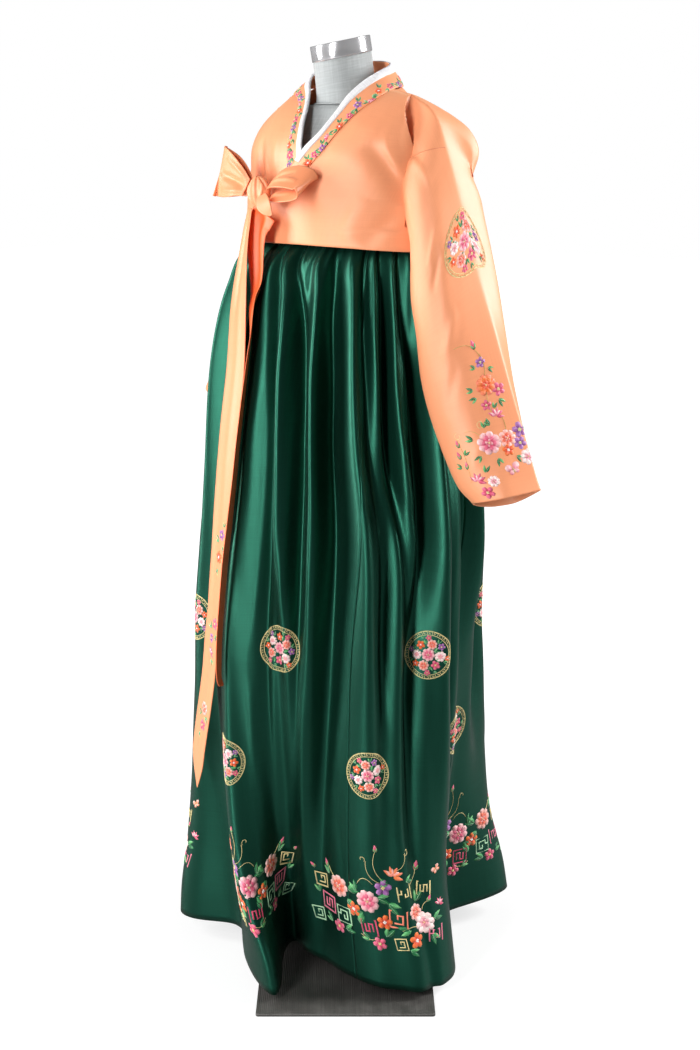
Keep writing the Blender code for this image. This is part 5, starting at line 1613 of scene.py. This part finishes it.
# One group of the skirt's hem border, in metres from the middle of its foot line.
HEM_FRETS = (
    # x, y, size, colour, kind, turn
    (-0.104, 0.082, 0.021, "gold", 0, 4), (-0.092, 0.048, 0.026, "pink", 1, -3),
    (-0.060, 0.040, 0.026, "mint", 2, 2), (-0.014, 0.034, 0.025, "rose", 1, 5),
    (0.034, 0.052, 0.027, "salmon", 0, -4), (0.048, 0.094, 0.023, "gold", 2, 6),
    (0.086, 0.094, 0.021, "gold", 1, -5), (0.034, 0.012, 0.018, "gold", 0, 8),
    (0.098, 0.020, 0.024, "pink", 2, -8), (-0.118, 0.020, 0.020, "mint", 0, 6),
)
HEM_FLOWERS = (
    # x, y, radius, kind, turn
    (-0.066, 0.086, 0.0180, "salmon_peony", 0), (-0.012, 0.078, 0.0185, "pink_peony", 20),
    (0.014, 0.102, 0.0135, "purple_blossom", 10), (0.030, 0.122, 0.0160, "orange_lotus", 0),
    (-0.038, 0.058, 0.0125, "orange_blossom", 30), (0.012, 0.046, 0.0120, "orange_blossom", 5),
    (0.066, 0.060, 0.0125, "salmon_peony", 40), (0.060, 0.018, 0.0125, "orange_blossom", 15),
    (0.080, 0.040, 0.0170, "white_peony", 8), (-0.074, 0.016, 0.0110, "pink_blossom", 22),
    (0.000, 0.010, 0.0110, "pink_blossom", 44), (0.112, 0.062, 0.0100, "pink_lotus", 0),
)
HEM_LEAVES = (
    # x, y, size, turn
    (-0.086, 0.098, 0.018, 120), (-0.046, 0.086, 0.022, 30), (-0.050, 0.070, 0.020, -40),
    (-0.030, 0.090, 0.020, 120), (0.004, 0.086, 0.022, -10), (-0.022, 0.058, 0.022, 220),
    (0.020, 0.076, 0.024, -30), (0.024, 0.106, 0.020, 160), (0.050, 0.112, 0.018, 10),
    (0.052, 0.036, 0.022, 190), (0.096, 0.044, 0.020, 10), (0.070, 0.074, 0.022, 70),
    (0.090, 0.022, 0.020, -60), (-0.060, 0.016, 0.020, 20), (-0.088, 0.018, 0.018, 150),
    (0.012, 0.022, 0.020, 60), (-0.014, 0.014, 0.018, 160), (0.046, 0.004, 0.018, -20),
    (-0.028, 0.036, 0.018, 80), (-0.110, 0.058, 0.016, 110),
)
HEM_STEMS = (
    # from x, y to x, y, then how far it bows aside
    (-0.070, 0.096, -0.086, 0.112, 0.002), (-0.028, 0.104, -0.002, 0.108, 0.010),
    (0.016, 0.112, 0.004, 0.166, 0.010), (0.026, 0.130, 0.050, 0.160, -0.010),
    (0.010, 0.110, -0.012, 0.146, 0.008), (0.060, 0.104, 0.074, 0.128, -0.004),
    (0.080, 0.060, 0.092, 0.074, 0.003), (0.000, 0.020, -0.030, 0.020, 0.006),
    (0.038, 0.034, 0.074, 0.030, 0.008),
)
HEM_BUDS = (
    # x, y, length, turn
    (-0.090, 0.108, 0.014, 110), (0.074, 0.124, 0.015, 70), (0.004, 0.162, 0.012, 100),
    (0.090, 0.072, 0.012, 60), (-0.114, 0.100, 0.011, 130),
)


HEM_SCALE = 1.10


def hem_group(mirrored=False):
    """Fret squares along the foot, flowers and leaves through them, and fine stems that rise above."""
    made = []
    for x, y, size, colour, kind, turn in HEM_FRETS:
        made += moved(fret(size, colour, turn, kind), (x, y))
    for x0, y0, x1, y1, bow in HEM_STEMS:
        made.append(stem((x0, y0), (x1, y1), bow))
    made += loop_tip((0.054, 0.160), 0.006, 200) + loop_tip((-0.018, 0.148), 0.005, -40, 260)
    for x, y, size, turn in HEM_LEAVES:
        made += moved(sprig(size, (-24, 26), turn=turn), (x, y), lift=LAYER / 2)
    for x, y, length, turn in HEM_BUDS:
        made += moved(bud(length, turn=turn), (x, y), lift=LAYER)
    for x, y, radius, kind, turn in HEM_FLOWERS:
        made += moved(flower(kind, radius, turn), (x, y), lift=1.5 * LAYER)
    made += moved(butterfly(0.010, ("orange", "pale"), 30), (0.110, 0.118))
    made = moved(made, scale=HEM_SCALE)
    if mirrored:
        made = [(points * (-1, 1, 1), colours, uv) for points, colours, uv in made]
    return made


def spread_out(rows):
    """A loose group from rows of: what, x, y, size, turn."""
    made = []
    for what, x, y, size, turn in rows:
        if what == "leaf":
            made += moved(sprig(size, (-24, 28), turn=turn), (x, y))
        elif what == "bud":
            made += moved(bud(size, turn=turn), (x, y), lift=LAYER)
        elif what == "butterfly":
            made += moved(butterfly(size, turn=turn), (x, y), lift=LAYER)
        elif what == "curl":
            made += loop_tip((x, y), size, turn)
        elif what == "fret":
            made += moved(fret(size, "mint", turn, 2), (x, y))
        else:
            made += moved(flower(what, size, turn), (x, y), lift=LAYER)
    return made


def surface(grid, out):
    """A cloth grid with the directions it faces and the lengths along its rows and columns."""
    looks = unit(np.cross(np.gradient(grid, axis=1), np.gradient(grid, axis=0)))
    if (looks * np.broadcast_to(out, grid.shape)).sum() < 0:
        looks = -looks
    return {"grid": grid, "looks": looks, "along": paths(grid, 1), "down": paths(grid, 0)}


def lay_on(cloth_face, motif, row, column, right=1, up=-1):
    """A motif's patches carried onto a cloth face, its middle at a row and column of the face's grid.

    Heights up the motif are lengths along that column, and its widths are lengths along each row.
    """
    grid, along = cloth_face["grid"], cloth_face["along"]
    rows, columns = grid.shape[:2]
    flat = np.concatenate([points.reshape(-1, 3) for points, _, _ in motif])
    down = cloth_face["down"][:, round(column)]
    at_row = np.interp(np.interp(row, np.arange(rows), down) + up * flat[:, 1], down, np.arange(rows))
    low = np.clip(np.floor(at_row).astype(int), 0, rows - 2)
    at_column = np.zeros(len(flat))
    for r in range(low.min(), low.max() + 2):
        start = np.interp(column, np.arange(columns), along[r])
        found = np.interp(start + right * flat[:, 0], along[r], np.arange(columns))
        at_column += found * np.where(low == r, 1 + low - at_row, np.where(low + 1 == r, at_row - low, 0))
    first = np.clip(np.floor(at_column).astype(int), 0, columns - 2)
    s, t = (at_column - first)[:, None], (at_row - low)[:, None]

    def read(field):
        upper = field[low, first] * (1 - s) + field[low, first + 1] * s
        lower = field[low + 1, first] * (1 - s) + field[low + 1, first + 1] * s
        return upper * (1 - t) + lower * t

    look = unit(read(cloth_face["looks"]))
    placed = read(grid) + look * flat[:, 2:]
    sizes = np.cumsum([0] + [points.shape[0] * points.shape[1] for points, _, _ in motif])
    return [
        (placed[a:b].reshape(points.shape), colours, uv, look[a:b].reshape(points.shape))
        for (points, colours, uv), a, b in zip(motif, sizes[:-1], sizes[1:])
    ]


def stitch(name, finish, laid):
    """One mesh from many laid patches, each a small raised grid with its own thread colour."""
    points, faces, colours, uvs, count = [], [], [], [], 0
    for grid, colour, uv, look in laid:
        cells = quads(*grid.shape[:2])[0]
        if not facing(grid, cells, look):
            cells = cells[:, ::-1]
        points.append(grid.reshape(-1, 3))
        colours.append(colour.reshape(-1, 3))
        uvs.append(uv.reshape(-1, 2)[cells].reshape(-1, 2))
        faces.append(cells + count)
        count += len(points[-1])
    made = add_piece(name, np.concatenate(points), np.concatenate(faces), finish,
                     uv=np.concatenate(uvs), colours=np.concatenate(colours))
    give_wall(made, 0.0002)
    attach(made, "root")
    return made


# The border's groups: degrees round the skirt, and how high their foot lies as a share of the skirt.
HEM_GROUPS = ((-36.5, 0.945), (-98.5, 0.925), (-158.0, 0.930), (28.0, 0.945), (84.0, 0.935), (142.0, 0.935))
ROUNDS_UPPER = (0.546, (-74.5, -14.0, 48.0, 108.0, 166.0, -134.0))
ROUNDS_LOWER = (0.698, (-38.5, 20.0, 78.0, 138.0, -164.0, -100.0))
ROUND_RADIUS = 0.041


def stitch_skirt(finish):
    """The skirt's hem border and its two staggered rows of round motifs."""
    levels = skirt_levels()
    degrees = np.concatenate([skirt_degrees(first, last) for _, first, last in SKIRT_PIECES])
    degrees = np.unique(np.round(np.concatenate([degrees, degrees + 360]), 6))
    degrees = degrees[degrees < 460]
    grid = skirt_points(*np.meshgrid(degrees, levels))
    face = surface(grid, grid * (1, 1, 0))

    def lay(motif, angle, level):
        angle = (angle - 40) % 360 + 40
        row = np.interp(level, levels, np.arange(len(levels)))
        return lay_on(face, motif, row, np.interp(angle, degrees, np.arange(len(degrees))))

    border = []
    for i, (angle, level) in enumerate(HEM_GROUPS):
        border += lay(hem_group(i % 2 == 1), angle, level)
    stitch("skirt_hem_stitching", finish["thread"], border)
    rounds = []
    for row, (level, angles) in enumerate((ROUNDS_UPPER, ROUNDS_LOWER)):
        for i, angle in enumerate(angles):
            motif = moved(round_motif(ROUND_RADIUS), turn=40 * i + 70 * row)
            rounds += lay(motif, angle, level)
    stitch("skirt_round_stitching", finish["thread"], rounds)


# The left sleeve's spray above the cuff, in metres along the sleeve from its middle: what, x, y, size, turn.
SLEEVE_SPRAY = (
    ("bud", 0.000, 0.090, 0.016, 100), ("purple_blossom", 0.004, 0.068, 0.0085, 0),
    ("leaf", -0.006, 0.062, 0.012, 150), ("leaf", 0.014, 0.056, 0.012, -40),
    ("orange_peony", 0.004, 0.032, 0.0165, 10), ("pink_blossom", 0.022, 0.020, 0.0105, 30),
    ("leaf", -0.018, 0.030, 0.014, 160), ("leaf", -0.016, 0.018, 0.014, 200),
    ("leaf", 0.018, 0.006, 0.015, -60),
    ("pink_blossom", -0.004, 0.002, 0.0085, 12), ("leaf", 0.006, -0.006, 0.012, 60),
    ("pink_lotus", 0.006, -0.018, 0.0130, 0), ("leaf", -0.008, -0.030, 0.014, 120),
    ("pink_peony", -0.018, -0.056, 0.0185, 25), ("leaf", -0.040, -0.046, 0.016, 150),
    ("leaf", -0.036, -0.072, 0.015, 220), ("leaf", -0.018, -0.032, 0.015, 80),
    ("leaf", -0.012, -0.082, 0.015, -80), ("salmon_peony", 0.012, -0.056, 0.0140, 0),
    ("purple_blossom", 0.036, -0.048, 0.0125, 20), ("purple_blossom", 0.030, -0.068, 0.0105, 50),
    ("leaf", 0.050, -0.046, 0.015, 20), ("orange_blossom", 0.008, -0.074, 0.0100, 15),
    ("leaf", 0.018, -0.086, 0.014, -50), ("butterfly", 0.006, -0.106, 0.0140, 10),
    ("white_peony", 0.036, -0.092, 0.0130, 30), ("leaf", 0.050, -0.080, 0.012, 60),
    ("bud", -0.066, -0.052, 0.013, 96), ("bud", -0.070, -0.070, 0.013, 100),
    ("bud", -0.064, -0.088, 0.013, 84),
    ("leaf", -0.062, -0.066, 0.013, 40), ("leaf", -0.072, -0.084, 0.013, 150),
    ("pink_lotus", -0.054, -0.110, 0.0140, -8), ("pink_blossom", -0.046, -0.132, 0.0110, 40),
    ("leaf", -0.038, -0.100, 0.015, 60), ("white_peony", -0.030, -0.116, 0.0095, 10),
    ("curl", -0.022, -0.026, 0.0070, 60), ("curl", -0.062, -0.034, 0.0060, 100),
)
SLEEVE_ARCS = (
    # from x, y to x, y, then how far it bows aside
    (-0.034, 0.106, 0.006, 0.076, 0.010), (0.006, 0.080, 0.006, 0.046, 0.003),
    (-0.050, -0.030, -0.026, -0.048, 0.006), (-0.066, -0.036, -0.064, -0.110, 0.003),
    (0.008, -0.004, 0.014, -0.044, 0.004), (0.004, 0.026, 0.002, -0.010, -0.003),
)
TAIL_SPRAYS = (
    # row of the long tail, then its flowers and leaves
    (106, (("purple_blossom", 0.002, 0.016, 0.0075, 0), ("leaf", -0.004, 0.006, 0.013, 160),
           ("orange_blossom", -0.002, -0.014, 0.0085, 20), ("leaf", 0.004, -0.002, 0.013, 10),
           ("leaf", -0.002, -0.028, 0.013, 250), ("leaf", 0.006, 0.026, 0.010, 70))),
    (137, (("pink_blossom", 0.002, 0.018, 0.0080, 15), ("leaf", -0.006, 0.008, 0.013, 150),
           ("purple_blossom", -0.003, -0.004, 0.0065, 0), ("leaf", 0.006, 0.000, 0.013, 20),
           ("pink_lotus", 0.000, -0.024, 0.0090, 0), ("leaf", 0.004, -0.030, 0.012, -60))),
    (170, (("salmon_peony", 0.000, 0.012, 0.0095, 0), ("leaf", -0.007, 0.002, 0.012, 200),
           ("pink_blossom", 0.002, -0.012, 0.0080, 30), ("leaf", 0.006, 0.002, 0.012, -20),
           ("leaf", -0.002, -0.024, 0.012, 260))),
)
CUFF_SPRAY_RIGHT = (
    ("pink_blossom", 0.002, 0.010, 0.0090, 0), ("leaf", -0.008, 0.004, 0.013, 150),
    ("purple_blossom", -0.006, -0.008, 0.0080, 20), ("leaf", 0.008, -0.002, 0.013, 20),
    ("salmon_peony", 0.010, -0.024, 0.0120, 0), ("leaf", -0.002, -0.022, 0.013, 220),
    ("leaf", 0.014, 0.020, 0.012, 80), ("orange_blossom", -0.012, -0.034, 0.0085, 10),
    ("bud", 0.016, 0.034, 0.013, 80), ("leaf", 0.020, -0.038, 0.012, -70),
)
SLEEVE_SEAM_ROW = 27  # where a second width of cloth is joined to the sleeve
COLLAR_STEP = 5  # rows of the collar from one of its small flowers to the next


def stitch_sleeves(grids, finish):
    """The left sleeve's round and its spray over the cuff; the same on the right sleeve, mirrored."""
    half_turn = grids["sleeve_left"].shape[1] // 2
    for name, right, round_at, spray_at in (
        ("sleeve_left", -1, (52, 4), (91, 14)),
        ("sleeve_right", 1, (50, 5), (88, 14)),
    ):
        grid = np.roll(grids[name], half_turn, axis=1)
        face = surface(grid, grid - grid.mean(axis=1, keepdims=True))
        round_it = moved(round_motif(0.043, ring=False), turn=25)
        round_it += key_ring(0.048, 0.005, 30, "gold")
        spray = spread_out(SLEEVE_SPRAY)
        for x0, y0, x1, y1, bow in SLEEVE_ARCS:
            spray.append(stem((x0, y0), (x1, y1), bow, colour="old_gold"))
        laid = lay_on(face, round_it, round_at[0], round_at[1] + half_turn, right)
        laid += lay_on(face, spray, spray_at[0], spray_at[1] + half_turn, right)
        # The seam is a raised line of stitches in darker orange: painted shade of the seam's groove.
        across = np.linspace(0, 0.092, 40)
        seam_painted_shade = line(np.column_stack([right * across, 0.8 * across]), 0.0010, "seam_painted_shade")
        laid += lay_on(face, [seam_painted_shade], SLEEVE_SEAM_ROW, half_turn, right)
        if name == "sleeve_right":
            laid += lay_on(face, spread_out(CUFF_SPRAY_RIGHT), 106, 25 + half_turn, right)
        stitch(name + "_stitching", finish["thread"], laid)


def stitch_collar(points, look, finish):
    """Small flowers and leaves in turn along the collar band, left clear where the strip lies."""
    face = surface(points, look)
    kinds = ("purple_blossom", "pink_blossom", "orange_blossom", "pink_lotus")
    laid = []
    for i, row in enumerate(range(8, len(points) - 4, COLLAR_STEP)):
        across = 2.9 + 0.9 * math.sin(2.4 * i)
        size = 0.0074 + 0.0010 * math.sin(1.7 * i)
        group = moved(flower(kinds[i % 4], size, 37 * i), lift=LAYER)
        group += moved(sprig(0.0125, (-30, 24), turn=90 + 60 * math.sin(3.1 * i)), (0.004, 0.005))
        group += moved(sprig(0.0115, (-20, 30), turn=-90 + 50 * math.cos(2.2 * i)), (-0.003, -0.006))
        laid += lay_on(face, group, row, across)
    stitch("collar_stitching", finish["thread"], laid)


def stitch_tail(points, look, finish):
    face = surface(points, look)
    laid = []
    for row, spray in TAIL_SPRAYS:
        laid += lay_on(face, moved(spread_out(spray), scale=1.3), row, 7, -1)
    stitch("tie_stitching", finish["thread"], laid)


# ---- floor, light and camera -------------------------------------------------------------------

CAMERA_PITCH = math.radians(14)
CAMERA_HEIGHT = 1.440
CAMERA_AWAY = 2.690  # level distance from the pole
CAMERA_ASIDE = 0.0075
FOCAL_SHARE = 1600 / 1050  # focal length to the height of the picture


def make_stage():
    """A wide pale floor, three soft lights and a white sky that lights the part only dimly."""
    floor_finish, tree, shader = new_finish("floor_white", (0.30, 0.30, 0.30), roughness=0.6)
    place = add_node(tree, "TexCoord").outputs["Object"]
    tree.links.new(between(tree, noise(tree, scaled(tree, place, (3, 3, 3))), 0.50, 0.62),
                   shader.inputs["Roughness"])
    shader.inputs["Emission Color"].default_value = (1, 1, 1, 1)
    away = add_node(tree, "VectorMath", {0: place}, operation="LENGTH").outputs["Value"]
    glow = add_node(tree, "MapRange", {"Value": away},
                    {"From Min": 0.30, "From Max": 1.5, "To Min": 0.72, "To Max": 1.1}).outputs[0]
    seen = add_node(tree, "LightPath").outputs["Is Camera Ray"]
    shown = add_node(tree, "Math", {0: glow, 1: seen}, operation="MULTIPLY").outputs[0]
    tree.links.new(shown, shader.inputs["Emission Strength"])
    size = 14.0
    corners = np.array([(-1, -1, 0), (1, -1, 0), (1, 1, 0), (-1, 1, 0)]) * size
    mesh = bpy.data.meshes.new("floor")
    mesh.from_pydata(corners.tolist(), [], [(0, 1, 2, 3)])
    mesh.materials.append(floor_finish)
    floor = bpy.data.objects.new("floor", mesh)
    bpy.context.scene.collection.objects.link(floor)

    world = bpy.data.worlds.new("studio")
    bpy.context.scene.world = world
    world.use_nodes = True
    tree = world.node_tree
    tree.nodes.clear()
    seen = add_node(tree, "Background", (), {"Color": (1, 1, 1, 1), "Strength": 1.0})
    lit = add_node(tree, "Background", (), {"Color": (1, 1, 1, 1), "Strength": 0.12})
    path = add_node(tree, "LightPath")
    mix = add_node(tree, "MixShader",
                   {0: path.outputs["Is Camera Ray"], 1: lit.outputs[0], 2: seen.outputs[0]})
    out = tree.nodes.new("ShaderNodeOutputWorld")
    tree.links.new(mix.outputs[0], out.inputs[0])

    # name, place, size, power; each looks at the middle of the garment
    for name, place, size, power in (
        ("left_box", (-2.3, -1.9, 1.6), (1.0, 2.6), 115),
        ("right_box", (2.1, 1.9, 2.2), (0.8, 2.0), 150),
        ("front_box", (0.4, -2.9, 1.5), (0.6, 2.6), 90),
    ):
        data = bpy.data.lights.new(name, "AREA")
        data.shape, data.size, data.size_y, data.energy = "RECTANGLE", *size, power
        light = bpy.data.objects.new(name, data)
        light.location = place
        aim = Vector((0, 0, 0.9)) - light.location
        light.rotation_euler = aim.to_track_quat("-Z", "Y").to_euler()
        bpy.context.scene.collection.objects.link(light)


def make_camera():
    data = bpy.data.cameras.new("camera")
    data.sensor_width = 36
    data.lens = FOCAL_SHARE * data.sensor_width
    camera = bpy.data.objects.new("camera", data)
    away = np.array([-math.sin(PLATE_TURN), math.cos(PLATE_TURN)])
    right = np.array([math.cos(PLATE_TURN), math.sin(PLATE_TURN)])
    camera.location = (*(right * CAMERA_ASIDE - away * CAMERA_AWAY), CAMERA_HEIGHT)
    camera.rotation_euler = (math.radians(90) - CAMERA_PITCH, 0, PLATE_TURN)
    bpy.context.scene.collection.objects.link(camera)
    bpy.context.scene.camera = camera
    bpy.context.scene.view_settings.view_transform = "Standard"


def main():
    make_stage()
    make_camera()
    finish = make_finishes()
    make_plate(finish)
    make_form(finish)
    make_skirt(finish)
    make_band(finish)
    make_jacket(finish)
    make_collar(finish)
    make_sleeves(finish)
    make_bow(finish)
    stitch_skirt(finish)


main()
